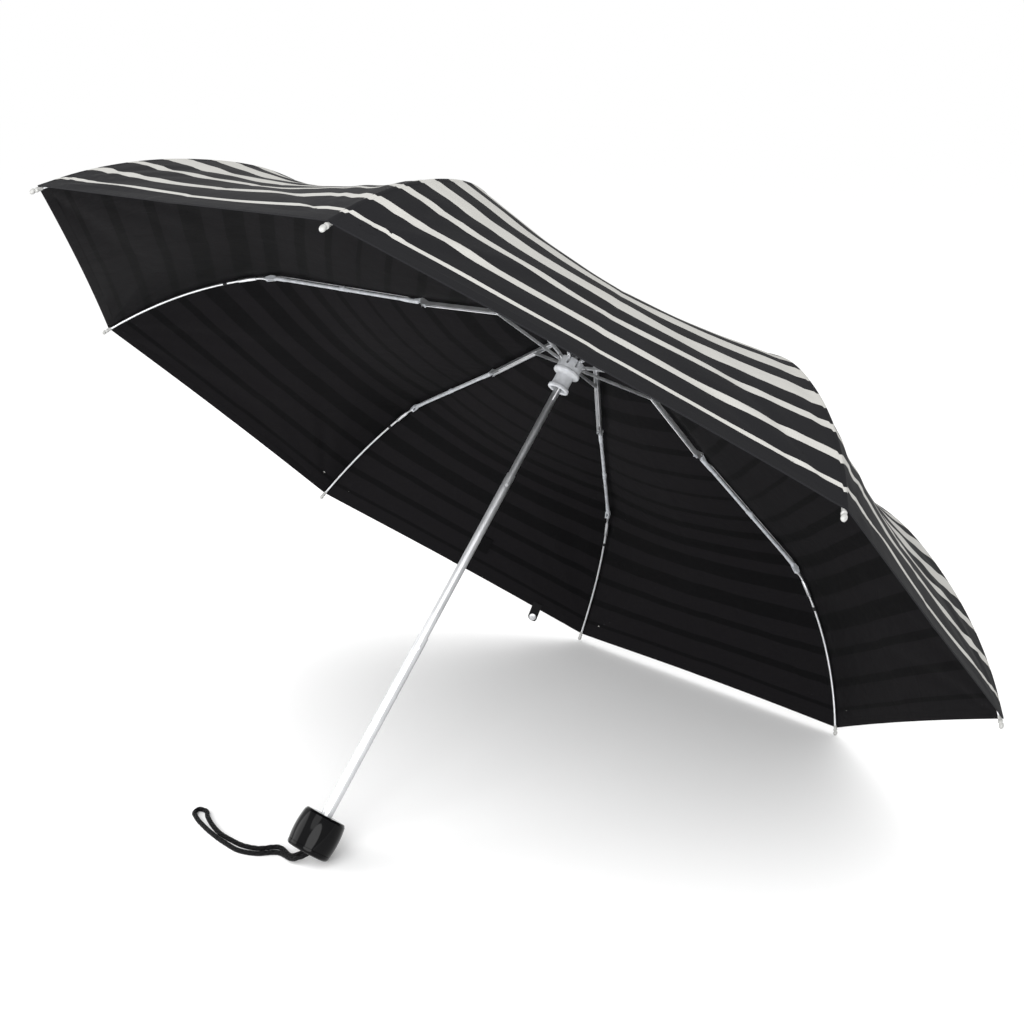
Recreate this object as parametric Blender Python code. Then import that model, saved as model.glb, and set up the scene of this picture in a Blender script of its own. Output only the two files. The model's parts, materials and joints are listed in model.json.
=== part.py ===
"""Three-fold manual umbrella, lying open on a floor on two rib tips and the edge of its handle.

Each sub-part is one named object. The shaft, hub and rib pieces are drawn in the umbrella's own
frame, whose Z is the shaft's axis with 0 at the runner's lower rim, and a root empty then tilts
the whole umbrella until it rests on the floor.
"""

import math

import bmesh
import bpy
from mathutils import Matrix, Vector

MM = 0.001
GAP = 0.3 * MM              # clearance between pieces that touch or pass
PIN_SLACK = 0.3 * MM        # radial clearance of a hole around its rivet or wire

# ---- ribs: where the joints of an open rib stand, measured from the shaft's axis ----
RIB_COUNT = 8
PIVOT_RADIUS = 9.5 * MM     # hub pivots of the top ribs and of the stretchers
TOP_PIVOT_HEIGHT = 75.2 * MM
TOP_RIB_SLOPE = math.radians(14.45)
TOP_RIB_LENGTH = 171.5 * MM
STRETCHER_LENGTH = 91.4 * MM
ELBOW_RADIUS = 350.0 * MM   # joint of the middle and outer rib
ELBOW_HEIGHT = -4.0 * MM
TIP_RADIUS = 490.0 * MM
TIP_HEIGHT = -129.8 * MM

# ---- rib sections ----
EYE_SIDES = 8
ROD_SIDES = 8
RIB_WIDTH = 4.4 * MM
RIB_WALL = 0.4 * MM
RIB_TOP = 2.0 * MM          # web's outer face above the rib's centre line
RIB_BOTTOM = -1.9 * MM
STRETCHER_TOP = 1.0 * MM
STRETCHER_BOTTOM = -1.3 * MM
STRETCHER_WALL = 0.4 * MM
TONGUE_WIDTH = 1.6 * MM     # flat ends that turn in the hub slots
TONGUE_EYE = 2.2 * MM
RIVET_RADIUS = 0.7 * MM
LINK_RADIUS = 0.5 * MM
LINK_ARM = 5.0 * MM         # from the stretcher's rivet to the link's pin
LINK_ARM_ANGLE = 2 * TOP_RIB_SLOPE
HUMP_HEIGHT = 3.6 * MM      # the folding pivot stands this far outside the top rib
HUMP_RADIUS = 2.1 * MM
MIDDLE_ROD_RADIUS = 1.75 * MM
MIDDLE_ROD_DROP = 2.4 * MM  # from the folding pivot to the middle rod's axis
JOINT_WIDTH = 4.6 * MM
JOINT_LENGTH = 24.0 * MM
PRONG_WIDTH = 0.6 * MM
ELBOW_DROP = 2.4 * MM       # the outer pivot stands this far inside the middle rod's axis
ELBOW_EYE = 2.0 * MM
ELBOW_CHEEK = 1.0 * MM
OUTER_TONGUE = 1.8 * MM
OUTER_ROD_RADIUS = 1.25 * MM
OUTER_ROD_RISE = 2.0 * MM   # from the outer pivot to the outer rod's axis
OUTER_BOW = 13.0 * MM       # how far the outer rod bends away from its chord
TIP_BEAD_RADIUS = 2.3 * MM

# ---- telescopic shaft ----
UPPER_TUBE_RADIUS = 3.55 * MM
MIDDLE_TUBE_RADIUS = 4.4 * MM
LOWER_TUBE_RADIUS = 5.25 * MM
TUBE_WALL = 0.5 * MM
TUBE_OVERLAP = 25.0 * MM
MIDDLE_TUBE_TOP = -96.9 * MM
LOWER_TUBE_TOP = -273.2 * MM
CATCH_DEPTH = 12.5 * MM     # below the rim of the tube that the catch holds
CATCH_ANGLE = math.radians(-130.0)
CATCH_RADIUS = 1.7 * MM
CATCH_STANDS_OUT = 0.5 * MM
RUNNER_CATCH_HEIGHT = 7.4 * MM
RUNNER_CATCH_LENGTH = 20.0 * MM
RUNNER_CATCH_REACH = 6.1 * MM
CATCH_RIVET_HEIGHT = -70.0 * MM

# ---- hub pieces ----
HUB_SIDES = 24
HUB_SLOT = TONGUE_WIDTH + 2 * GAP
HUB_SLOT_DEPTH = 6.9 * MM   # radius at which the slots begin
WIRE_RADIUS = 0.5 * MM
NOTCH_RADIUS = 12.3 * MM
NOTCH_HALF = 4.5 * MM
RUNNER_BORE = 5.75 * MM
RUNNER_RING_RADIUS = 10.7 * MM
RUNNER_RING_BORE = 6.8 * MM
RUNNER_WAIST_RADIUS = 9.0 * MM
RUNNER_COLLAR_RADIUS = 13.5 * MM
RUNNER_CROWN_RADIUS = 12.5 * MM
RUNNER_TOP_ABOVE_PIVOT = 3.4 * MM
CAP_RADIUS = 9.5 * MM
CAP_HEIGHT = 11.0 * MM

# ---- handle and strap ----
HANDLE_SIDES = 32
HANDLE_TOP = -456.1 * MM
HANDLE_BOTTOM = -492.3 * MM
HANDLE_END_RADIUS = 19.6 * MM
HANDLE_BARREL_RADIUS = 21.6 * MM
HANDLE_ROUNDING = 2.5 * MM
END_CAP_HEIGHT = 5.0 * MM
RECESS_RADIUS = 10.0 * MM
RECESS_HEIGHT = 11.0 * MM
HANDLE_PIN_RADIUS = 1.0 * MM
STRAP_RADIUS = 2.2 * MM
STRAP_SPACING = 5.2 * MM

# ---- canopy ----
CLOTH = 0.8 * MM
CANOPY_HOLE = 5.0 * MM
RIM_DIP = 0.004             # the rim between two ribs falls short by this share of the rib
CLOTH_SAG = 14.0 * MM       # the taut cloth hangs this far inside the ribs, midway between two
SAG_PLACE = 1.6             # above 1 the deepest sag is nearer to the rim
CLOTH_OVER_HUMP = 6.4 * MM
CLOTH_OVER_ELBOW = 4.4 * MM
CLOTH_OVER_TIP = 2.2 * MM
RIM_SHORT_OF_TIP = 6.0 * MM
BAND_WIDTH = 16.0 * MM
BAND_LENGTH = 15.0 * MM
BAND_DROP = 3.0 * MM        # the band's stitched end stands this far below the rim
BAND_PLACE = 0.18           # along the rim from one rib to the next
BAND_GORE = 0               # the gore that carries the band
SNAP_RADIUS = 5.0 * MM

# ---- where the linkage stands, worked out from the sizes above ----
ELBOW_X = TOP_RIB_LENGTH * math.cos(TOP_RIB_SLOPE) + PIVOT_RADIUS
ELBOW_Z = TOP_PIVOT_HEIGHT - TOP_RIB_LENGTH * math.sin(TOP_RIB_SLOPE)
RUNNER_PIVOT_HEIGHT = TOP_PIVOT_HEIGHT - 2 * STRETCHER_LENGTH * math.sin(TOP_RIB_SLOPE)
MIDDLE_SLOPE = math.atan2(ELBOW_Z - ELBOW_HEIGHT, ELBOW_RADIUS - ELBOW_X)
OUTER_SLOPE = math.atan2(ELBOW_HEIGHT - TIP_HEIGHT, TIP_RADIUS - ELBOW_RADIUS)


# ---------------------------------------------------------------- mesh helpers
def mesh_from(bm, name="shape"):
    """A mesh with outward faces from a bmesh."""
    bmesh.ops.recalc_face_normals(bm, faces=bm.faces)
    mesh = bpy.data.meshes.new(name)
    bm.to_mesh(mesh)
    bm.free()
    return mesh


def circle(x, z, radius, sides, start=0.0):
    """Points around a circle in the XZ plane."""
    turn = 2 * math.pi / sides
    return [
        (x + radius * math.cos(start + i * turn), z + radius * math.sin(start + i * turn))
        for i in range(sides)
    ]


def hull_outline(points):
    """The convex outline of some XZ points, as a band around two eyes is."""
    ordered = sorted(set(points))

    def half(run):
        chain = []
        for p in run:
            while len(chain) > 1 and (
                (chain[-1][0] - chain[-2][0]) * (p[1] - chain[-2][1])
                <= (chain[-1][1] - chain[-2][1]) * (p[0] - chain[-2][0])
            ):
                chain.pop()
            chain.append(p)
        return chain[:-1]

    return half(ordered) + half(ordered[::-1])


def plate(outline, low_y, high_y):
    """A flat plate: an XZ outline with a thickness along Y."""
    bm = bmesh.new()
    face = bm.faces.new([bm.verts.new((x, low_y, z)) for x, z in outline])
    raised = bmesh.ops.extrude_face_region(bm, geom=[face])["geom"]
    moved = [v for v in raised if isinstance(v, bmesh.types.BMVert)]
    bmesh.ops.translate(bm, verts=moved, vec=(0, high_y - low_y, 0))
    return mesh_from(bm)


def pin(x, z, radius, low_y, high_y, sides=EYE_SIDES):
    """A cylinder across the rib, along Y."""
    return plate(circle(x, z, radius, sides), low_y, high_y)


def rod(points, radii, sides=ROD_SIDES):
    """A round bar along points in the XZ plane, with a radius at each and closed ends."""
    bm = bmesh.new()
    rings = []
    for i, (x, z) in enumerate(points):
        before, after = points[max(i - 1, 0)], points[min(i + 1, len(points) - 1)]
        along = Vector((after[0] - before[0], 0, after[1] - before[1])).normalized()
        side = Vector((-along.z, 0, along.x))
        ring = []
        for k in range(sides):
            turn = 2 * math.pi * (k + 0.5) / sides
            out = side * math.cos(turn) + Vector((0, 1, 0)) * math.sin(turn)
            ring.append(bm.verts.new(Vector((x, 0, z)) + out * radii[i]))
        rings.append(ring)
    for near, far in zip(rings, rings[1:]):
        for k in range(sides):
            bm.faces.new((near[k], near[k - 1], far[k - 1], far[k]))
    bm.faces.new(rings[0])
    bm.faces.new(rings[-1])
    return mesh_from(bm)


def turned(profile, sides, hollow=True):
    """A turned body about Z from (radius, height) points.

    A hollow profile is a closed loop clear of the axis. A solid one runs from the axis to the axis.
    """
    bm = bmesh.new()
    rings = []
    for radius, height in profile:
        if radius == 0.0:
            rings.append([bm.verts.new((0, 0, height))])
            continue
        turn = 2 * math.pi / sides
        rings.append([
            bm.verts.new((radius * math.cos(k * turn), radius * math.sin(k * turn), height))
            for k in range(sides)
        ])
    pairs = list(zip(rings, rings[1:]))
    if hollow:
        pairs.append((rings[-1], rings[0]))
    for low, high in pairs:
        for k in range(sides):
            corners = [low[k % len(low)], low[(k + 1) % len(low)]]
            corners += [high[(k + 1) % len(high)], high[k % len(high)]]
            bm.faces.new(list(dict.fromkeys(corners)))
    return mesh_from(bm)


def box(low, high):
    """A block between two corners."""
    bm = bmesh.new()
    bmesh.ops.create_cube(bm, size=1.0)
    for v in bm.verts:
        v.co = Vector(h if c > 0 else l for c, l, h in zip(v.co, low, high))
    return mesh_from(bm)


def torus(radius, wire, around, across):
    """A wire ring about Z."""
    return turned(
        [(radius + wire * math.cos(a), wire * math.sin(a))
         for a in (2 * math.pi * k / across for k in range(across))],
        around,
    )


def moved(mesh, offset=(0, 0, 0), turn_z=0.0):
    """A copy of a mesh, turned about Z and then moved."""
    copy = mesh.copy()
    copy.transform(Matrix.Translation(offset) @ Matrix.Rotation(turn_z, 4, "Z"))
    return copy


def combined(base, others, operation):
    """The base mesh joined with, or cut by, each of the others in turn."""
    body = bpy.data.objects.new("work", base)
    bpy.context.collection.objects.link(body)
    tools = []
    for mesh in others:
        tool = bpy.data.objects.new("cutter", mesh)
        tool.hide_render = True
        tool.display_type = "WIRE"
        bpy.context.collection.objects.link(tool)
        step = body.modifiers.new("combine", "BOOLEAN")
        step.operation = operation
        step.solver = "EXACT"
        step.object = tool
        tools.append(tool)
    bpy.context.view_layer.update()
    seen = body.evaluated_get(bpy.context.evaluated_depsgraph_get())
    result = bpy.data.meshes.new_from_object(seen)
    for work in [body, *tools]:
        bpy.data.objects.remove(work)
    return result


def fused(pieces):
    return combined(pieces[0], pieces[1:], "UNION")


def cut(base, cutters):
    return combined(base, cutters, "DIFFERENCE")


# ---------------------------------------------------------------- scene helpers
def finish(name, color, roughness, metallic=0.0):
    """A Principled material, made once for each name."""
    material = bpy.data.materials.get(name)
    if material is None:
        material = bpy.data.materials.new(name)
        material.use_nodes = True
        shader = material.node_tree.nodes["Principled BSDF"]
        shader.inputs["Base Color"].default_value = (*color, 1.0)
        shader.inputs["Roughness"].default_value = roughness
        shader.inputs["Metallic"].default_value = metallic
    return material


def steel():
    return finish("plated_steel", (0.62, 0.62, 0.63), 0.3, 1.0)


def tube_steel():
    return finish("bright_tube_steel", (0.75, 0.75, 0.76), 0.2, 1.0)


def grey_plastic():
    return finish("light_grey_plastic", (0.62, 0.64, 0.66), 0.45)


def grey_glassfibre():
    return finish("grey_glassfibre", (0.55, 0.57, 0.6), 0.4)


def black_plastic():
    return finish("gloss_black_plastic", (0.01, 0.01, 0.011), 0.12)


def cloth():
    return finish("black_canopy_cloth", (0.02, 0.02, 0.022), 0.85)


def cord():
    return finish("black_braided_cord", (0.015, 0.015, 0.016), 0.9)


def empty(name, parent=None, location=(0, 0, 0), rotation=(0, 0, 0)):
    """A frame that its children are placed in."""
    holder = bpy.data.objects.new(name, None)
    bpy.context.collection.objects.link(holder)
    holder.parent = parent
    holder.location = location
    holder.rotation_euler = rotation
    return holder


def piece(name, mesh, material, parent, location=(0, 0, 0), rotation=(0, 0, 0)):
    """One sub-part, with its origin where its joint or seat is."""
    mesh.materials.clear()
    mesh.materials.append(material)
    mesh.shade_smooth()
    mesh.set_sharp_from_angle(angle=math.radians(35))
    part = bpy.data.objects.new(name, mesh)
    bpy.context.collection.objects.link(part)
    part.parent = parent
    part.location = location
    part.rotation_euler = rotation
    return part


# ---------------------------------------------------------------- rib pieces
def top_rib_mesh():
    """A steel channel, open inwards, from its hub tongue to the lugs of the folding pivot."""
    half = RIB_WIDTH / 2
    start = NOTCH_RADIUS - PIVOT_RADIUS + 1.6 * MM
    web_end = TOP_RIB_LENGTH - 10.0 * MM
    web = box((start, -half, RIB_TOP - RIB_WALL), (web_end, half, RIB_TOP))
    lug_eye = circle(TOP_RIB_LENGTH, HUMP_HEIGHT, HUMP_RADIUS, EYE_SIDES)
    lug = hull_outline(
        [(TOP_RIB_LENGTH - 7.5 * MM, RIB_BOTTOM), (TOP_RIB_LENGTH + 0.6 * MM, RIB_BOTTOM),
         (TOP_RIB_LENGTH - 7.5 * MM, RIB_TOP)] + lug_eye
    )
    low = [(start, RIB_BOTTOM), (TOP_RIB_LENGTH - 6.0 * MM, RIB_BOTTOM)]
    high = [(TOP_RIB_LENGTH - 6.0 * MM, RIB_TOP), (start, RIB_TOP)]
    shapes = [web]
    for side in (-1, 1):
        near, far = sorted((side * half, side * (half - RIB_WALL)))
        shapes += [plate(low + high, near, far), plate(lug, near, far)]
    tongue = hull_outline(
        circle(0, 0, TONGUE_EYE, EYE_SIDES) + [(start + 8.0 * MM, RIB_BOTTOM + 0.4 * MM),
                                        (start + 8.0 * MM, RIB_TOP - 0.1 * MM)]
    )
    shapes.append(plate(tongue, -TONGUE_WIDTH / 2, TONGUE_WIDTH / 2))
    out = half + 0.35 * MM
    shapes.append(pin(STRETCHER_LENGTH, 0, RIVET_RADIUS, -out, out))
    shapes.append(pin(TOP_RIB_LENGTH, HUMP_HEIGHT, RIVET_RADIUS, -out, out))
    eye = pin(0, 0, WIRE_RADIUS + PIN_SLACK, -RIB_WIDTH, RIB_WIDTH)
    return cut(fused(shapes), [eye])


def stretcher_mesh():
    """A narrower channel that nests in the top rib's, with a tongue for the runner's wire.

    Its end is grooved, because the link wire lies in the channel when the rib is folded.
    """
    inner = RIB_WIDTH / 2 - RIB_WALL
    half = inner - GAP
    eye = -STRETCHER_BOTTOM
    end = STRETCHER_LENGTH - 6.5 * MM
    web = box((3.0 * MM, -half, STRETCHER_BOTTOM), (end, half, STRETCHER_BOTTOM + STRETCHER_WALL))
    side_view = hull_outline(
        circle(0, 0, eye, EYE_SIDES) + [(end, STRETCHER_BOTTOM), (end, STRETCHER_TOP),
                                 (3.0 * MM, STRETCHER_BOTTOM)]
    )
    shapes = [web]
    for side in (-1, 1):
        near, far = sorted((side * half, side * (half - STRETCHER_WALL)))
        shapes.append(plate(side_view, near, far))
    tongue = hull_outline(
        circle(STRETCHER_LENGTH, 0, 1.8 * MM, EYE_SIDES) + [(end - 3.0 * MM, STRETCHER_BOTTOM + 0.1 * MM),
                                                     (end - 3.0 * MM, STRETCHER_TOP - 0.1 * MM)]
    )
    shapes.append(plate(tongue, -TONGUE_WIDTH / 2, TONGUE_WIDTH / 2))
    bridge = box(
        (end - 3.0 * MM, -half, STRETCHER_BOTTOM), (end, half, STRETCHER_TOP - 0.2 * MM)
    )
    shapes.append(bridge)
    link_end = LINK_ARM + TOP_RIB_LENGTH - STRETCHER_LENGTH
    groove_half, groove_low = LINK_RADIUS + 0.4 * MM, -LINK_RADIUS - 0.25 * MM
    holes = [
        box((end - 4.0 * MM, -groove_half, groove_low), (link_end + 0.5 * MM, groove_half, RIB_WIDTH)),
        pin(0, 0, RIVET_RADIUS + 0.25 * MM, -RIB_WIDTH, RIB_WIDTH),
        pin(LINK_ARM, 0, LINK_RADIUS + 0.2 * MM, -RIB_WIDTH, RIB_WIDTH),
        pin(STRETCHER_LENGTH, 0, WIRE_RADIUS + PIN_SLACK, -RIB_WIDTH, RIB_WIDTH),
    ]
    return cut(fused(shapes), holes)


def link_mesh():
    """A bent wire whose short end is pinned in the stretcher and whose long end meets the joint."""
    reach = RIB_WIDTH / 2 - RIB_WALL - 0.2 * MM
    wire = rod([(0, 0), (TOP_RIB_LENGTH - STRETCHER_LENGTH, 0)], [LINK_RADIUS] * 2)
    return fused([wire, pin(0, 0, LINK_RADIUS * 0.95, -0.1 * MM, reach)])


def middle_rib_mesh():
    """A round rod between a moulded joint with two prongs and a clevis for the outer rib."""
    length = math.hypot(ELBOW_RADIUS - ELBOW_X, ELBOW_Z - ELBOW_HEIGHT)
    axis = -MIDDLE_ROD_DROP
    half = JOINT_WIDTH / 2
    pivot_x = HUMP_HEIGHT * math.sin(MIDDLE_SLOPE - TOP_RIB_SLOPE)
    tail = (-LINK_ARM * math.cos(LINK_ARM_ANGLE - MIDDLE_SLOPE + TOP_RIB_SLOPE),
            -HUMP_HEIGHT - LINK_ARM * math.sin(LINK_ARM_ANGLE - MIDDLE_SLOPE + TOP_RIB_SLOPE))
    arm = hull_outline(circle(0, 0, 1.9 * MM, EYE_SIDES) + circle(*tail, 1.0 * MM, EYE_SIDES))
    neck = hull_outline(
        circle(0, 0, 1.9 * MM, EYE_SIDES) + [(9.0 * MM, axis - 1.9 * MM), (9.0 * MM, axis + 1.9 * MM)]
    )
    inner = RIB_WIDTH / 2 - RIB_WALL - GAP
    bar = rod(
        [(3.4 * MM, axis), (5.0 * MM, axis), (0.75 * JOINT_LENGTH, axis), (JOINT_LENGTH, axis),
         (length - 24.0 * MM, axis), (length - 21.0 * MM, axis), (length - 5.0 * MM, axis)],
        [half * 0.86, half * 1.02, half * 0.98, MIDDLE_ROD_RADIUS,
         MIDDLE_ROD_RADIUS, half * 0.9, half * 0.98],
    )
    slot = OUTER_TONGUE / 2 + GAP
    pivot = (length + pivot_x, axis - ELBOW_DROP)
    cheek = hull_outline(
        circle(*pivot, ELBOW_EYE, EYE_SIDES) + [(length - 10.0 * MM, axis - 1.9 * MM),
                                         (length - 10.0 * MM, axis + 1.9 * MM),
                                         (length - 4.0 * MM, axis + 1.9 * MM)]
    )
    shapes = [bar]
    for side in (-1, 1):
        near, far = sorted((side * inner, side * (inner - PRONG_WIDTH)))
        shapes += [plate(arm, near, far), plate(neck, near, far)]
        near, far = sorted((side * slot, side * (slot + ELBOW_CHEEK)))
        shapes.append(plate(cheek, near, far))
    out = slot + ELBOW_CHEEK + 0.3 * MM
    body = cut(
        fused(shapes),
        [pin(0, 0, RIVET_RADIUS + PIN_SLACK, -RIB_WIDTH, RIB_WIDTH),
         plate(circle(*pivot, ELBOW_EYE + 5.0 * MM, EYE_SIDES), -slot, slot)],
    )
    return fused([body, pin(*pivot, RIVET_RADIUS, -out, out)])


def elbow_pivot():
    """The outer pivot in the open rib's own plane, as (radius, height) on the umbrella."""
    length = math.hypot(ELBOW_RADIUS - ELBOW_X, ELBOW_Z - ELBOW_HEIGHT)
    along = length + HUMP_HEIGHT * math.sin(MIDDLE_SLOPE - TOP_RIB_SLOPE)
    x, z = fold_pivot()
    drop = -MIDDLE_ROD_DROP - ELBOW_DROP
    return (
        x + along * math.cos(MIDDLE_SLOPE) + drop * math.sin(MIDDLE_SLOPE),
        z - along * math.sin(MIDDLE_SLOPE) + drop * math.cos(MIDDLE_SLOPE),
    )


def fold_pivot():
    """The pivot of the middle rib on the open top rib, as (radius, height)."""
    return (
        ELBOW_X + HUMP_HEIGHT * math.sin(TOP_RIB_SLOPE),
        ELBOW_Z + HUMP_HEIGHT * math.cos(TOP_RIB_SLOPE),
    )


def outer_chord():
    """Length and slope of the outer rib from its pivot to its tip."""
    x, z = elbow_pivot()
    return math.hypot(TIP_RADIUS - x, TIP_HEIGHT - z), math.atan2(z - TIP_HEIGHT, TIP_RADIUS - x)


def outer_axis(share):
    """A point on the bowed outer rod's axis, in the outer rib's own frame."""
    length, _ = outer_chord()
    return (
        share * length,
        OUTER_ROD_RISE * (1 - share) + 4 * OUTER_BOW * share * (1 - share),
    )


def outer_rib_mesh():
    """A thin bowed rod from a flat pivot tongue to the bead that carries the cloth."""
    length, _ = outer_chord()
    shares = [0.05, 0.085, 0.12, 0.26, 0.40, 0.54, 0.68, 0.82, 0.94]
    line = [outer_axis(share) for share in shares]
    radii = [1.9 * MM, 2.1 * MM, 1.5 * MM] + [OUTER_ROD_RADIUS] * 6
    end = Vector(outer_axis(1.0))
    away = (end - Vector(outer_axis(0.965))).normalized()
    ferrule = {-3.2: 0.72, -1.4: 0.72, -0.8: 0.9, 0.0: 1.0, 0.7: 0.72, 1.0: 0.3}
    for place, share in ferrule.items():
        line.append(tuple(end + away * place * TIP_BEAD_RADIUS))
        radii.append(share * TIP_BEAD_RADIUS)
    start = line[1]
    tongue = hull_outline(
        circle(0, 0, ELBOW_EYE, EYE_SIDES) + [(start[0], start[1] - 1.6 * MM),
                                              (start[0], start[1] + 1.6 * MM)]
    )
    half = OUTER_TONGUE / 2
    eye = pin(0, 0, RIVET_RADIUS + PIN_SLACK, -RIB_WIDTH, RIB_WIDTH)
    return cut(fused([rod(line, radii, sides=6), plate(tongue, -half, half)]), [eye])


def rib_unit(number, meshes, umbrella):
    """The five moving pieces of one rib, each with its origin on its own pivot."""
    turn = 2 * math.pi * (number - 0.5) / RIB_COUNT
    plane = empty(f"rib_plane_{number}", umbrella, rotation=(0, 0, turn))
    fold_x, fold_z = fold_pivot()
    elbow_x, elbow_z = elbow_pivot()
    rivet_x = PIVOT_RADIUS + STRETCHER_LENGTH * math.cos(TOP_RIB_SLOPE)
    rivet_z = TOP_PIVOT_HEIGHT - STRETCHER_LENGTH * math.sin(TOP_RIB_SLOPE)
    link_x = rivet_x - LINK_ARM * math.cos(TOP_RIB_SLOPE)
    link_z = rivet_z - LINK_ARM * math.sin(TOP_RIB_SLOPE)
    _, outer_slope = outer_chord()
    places = {
        "top_rib": (steel(), PIVOT_RADIUS, TOP_PIVOT_HEIGHT, TOP_RIB_SLOPE),
        "stretcher": (steel(), rivet_x, rivet_z, math.pi - TOP_RIB_SLOPE),
        "link_wire": (steel(), link_x, link_z, TOP_RIB_SLOPE),
        "middle_rib": (grey_glassfibre(), fold_x, fold_z, MIDDLE_SLOPE),
        "outer_rib": (steel(), elbow_x, elbow_z, outer_slope),
    }
    for kind, (material, x, z, slope) in places.items():
        piece(f"{kind}_{number}", meshes[kind], material, plane, (x, 0, z), (0, slope, 0))


# ---------------------------------------------------------------- hub pieces
def hub_slots(low, high):
    """Cutters for the slots that the rib tongues turn in."""
    slot = box((HUB_SLOT_DEPTH, -HUB_SLOT / 2, low), (3 * NOTCH_RADIUS, HUB_SLOT / 2, high))
    turns = [2 * math.pi * (k + 0.5) / RIB_COUNT for k in range(RIB_COUNT)]
    return [moved(slot, turn_z=turn) for turn in turns]


def top_notch_mesh():
    """The fixed hub: eight slots and a groove for the wire that the top ribs hang on."""
    low, high = -NOTCH_HALF, NOTCH_HALF
    bore = UPPER_TUBE_RADIUS + GAP
    groove = WIRE_RADIUS + 0.35 * MM
    profile = [
        (bore, low), (7.0 * MM, low), (8.0 * MM, low + 1.0 * MM),
        (NOTCH_RADIUS, low + 1.0 * MM), (NOTCH_RADIUS, high - 1.0 * MM),
        (NOTCH_RADIUS - 0.8 * MM, high),
        (PIVOT_RADIUS + groove, high), (PIVOT_RADIUS + groove, -groove),
        (PIVOT_RADIUS - groove, -groove), (PIVOT_RADIUS - groove, high), (bore, high),
    ]
    return cut(turned(profile, HUB_SIDES), hub_slots(low - MM, high + MM))


def runner_mesh():
    """The sliding hub, with a flanged lower ring, a waist, a collar and a slotted crown."""
    top = RUNNER_PIVOT_HEIGHT + RUNNER_TOP_ABOVE_PIVOT
    crown = RUNNER_PIVOT_HEIGHT - 8.0 * MM
    groove = WIRE_RADIUS + 0.35 * MM
    seat = RUNNER_CATCH_HEIGHT + GAP
    profile = [
        (RUNNER_RING_BORE, 0.0), (RUNNER_RING_RADIUS, 0.0), (RUNNER_RING_RADIUS, 2.6 * MM),
        (RUNNER_RING_RADIUS - 0.8 * MM, 3.2 * MM), (RUNNER_WAIST_RADIUS, 3.6 * MM),
        (RUNNER_WAIST_RADIUS, crown - 5.4 * MM), (RUNNER_WAIST_RADIUS + 1.2 * MM, crown - 4.4 * MM),
        (RUNNER_COLLAR_RADIUS, crown - 4.0 * MM), (RUNNER_COLLAR_RADIUS, crown - 0.6 * MM),
        (RUNNER_CROWN_RADIUS, crown), (RUNNER_CROWN_RADIUS, top - 0.8 * MM),
        (RUNNER_CROWN_RADIUS - 0.8 * MM, top),
        (PIVOT_RADIUS + groove, top), (PIVOT_RADIUS + groove, RUNNER_PIVOT_HEIGHT - groove),
        (PIVOT_RADIUS - groove, RUNNER_PIVOT_HEIGHT - groove), (PIVOT_RADIUS - groove, top),
        (RUNNER_BORE, top), (RUNNER_BORE, seat), (RUNNER_RING_BORE, seat),
    ]
    slots = hub_slots(RUNNER_PIVOT_HEIGHT - 4.6 * MM, top + MM)
    return cut(turned(profile, HUB_SIDES), slots)


def ferrule_cap_mesh():
    """The cap that screws down over the cloth, with a stem in the upper tube."""
    stem = UPPER_TUBE_RADIUS - TUBE_WALL - GAP
    profile = [(0.0, -8.0 * MM), (stem, -8.0 * MM), (stem, 0.0), (CAP_RADIUS, 0.0)]
    arc = 5
    for k in range(arc):
        turn = math.pi / 2 * k / arc
        profile.append((CAP_RADIUS * math.cos(turn), 1.5 * MM + (CAP_HEIGHT - 1.5 * MM) * math.sin(turn)))
    profile.append((0.0, CAP_HEIGHT))
    return turned(profile, HUB_SIDES, hollow=False)


# ---------------------------------------------------------------- shaft
def tube_mesh(radius, low, high, sides=20):
    """A thin tube about Z between two heights."""
    bore = radius - TUBE_WALL
    return turned([(bore, low), (radius, low), (radius, high), (bore, high)], sides)


def across_shaft(radius, height, start, end, sides=10):
    """A round bar along the catches' direction, between two distances from the shaft's axis."""
    mesh = turned([(0.0, 0.0), (radius, 0.0), (radius, end - start), (0.0, end - start)],
                  sides, hollow=False)
    lay = Matrix.Rotation(math.pi / 2, 4, "Y")
    mesh.transform(Matrix.Translation((start, 0, height)) @ lay)
    mesh.transform(Matrix.Rotation(CATCH_ANGLE, 4, "Z"))
    return mesh


def tube_catch_mesh(inner_radius, outer_radius):
    """A round button on a leaf spring inside the inner tube, which locks two tubes."""
    leaf_out = inner_radius - TUBE_WALL - GAP
    leaf = box((leaf_out - 0.9 * MM, -1.2 * MM, -8.0 * MM), (leaf_out - 0.4 * MM, 1.2 * MM, 3.0 * MM))
    leaf = moved(leaf, turn_z=CATCH_ANGLE)
    button = across_shaft(CATCH_RADIUS, 0.0, leaf_out - 0.7 * MM, outer_radius + CATCH_STANDS_OUT)
    return fused([button, leaf])


def runner_catch_mesh():
    """A wedge that springs out under the runner's bush and holds the umbrella open."""
    wedge = [
        (0.6 * MM, 0.0), (RUNNER_CATCH_REACH, 0.0), (RUNNER_CATCH_REACH, -2.5 * MM),
        (UPPER_TUBE_RADIUS - TUBE_WALL - 0.1 * MM, -RUNNER_CATCH_LENGTH),
        (0.6 * MM, -RUNNER_CATCH_LENGTH),
    ]
    return moved(plate(wedge, -0.7 * MM, 0.7 * MM), turn_z=CATCH_ANGLE)


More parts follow.
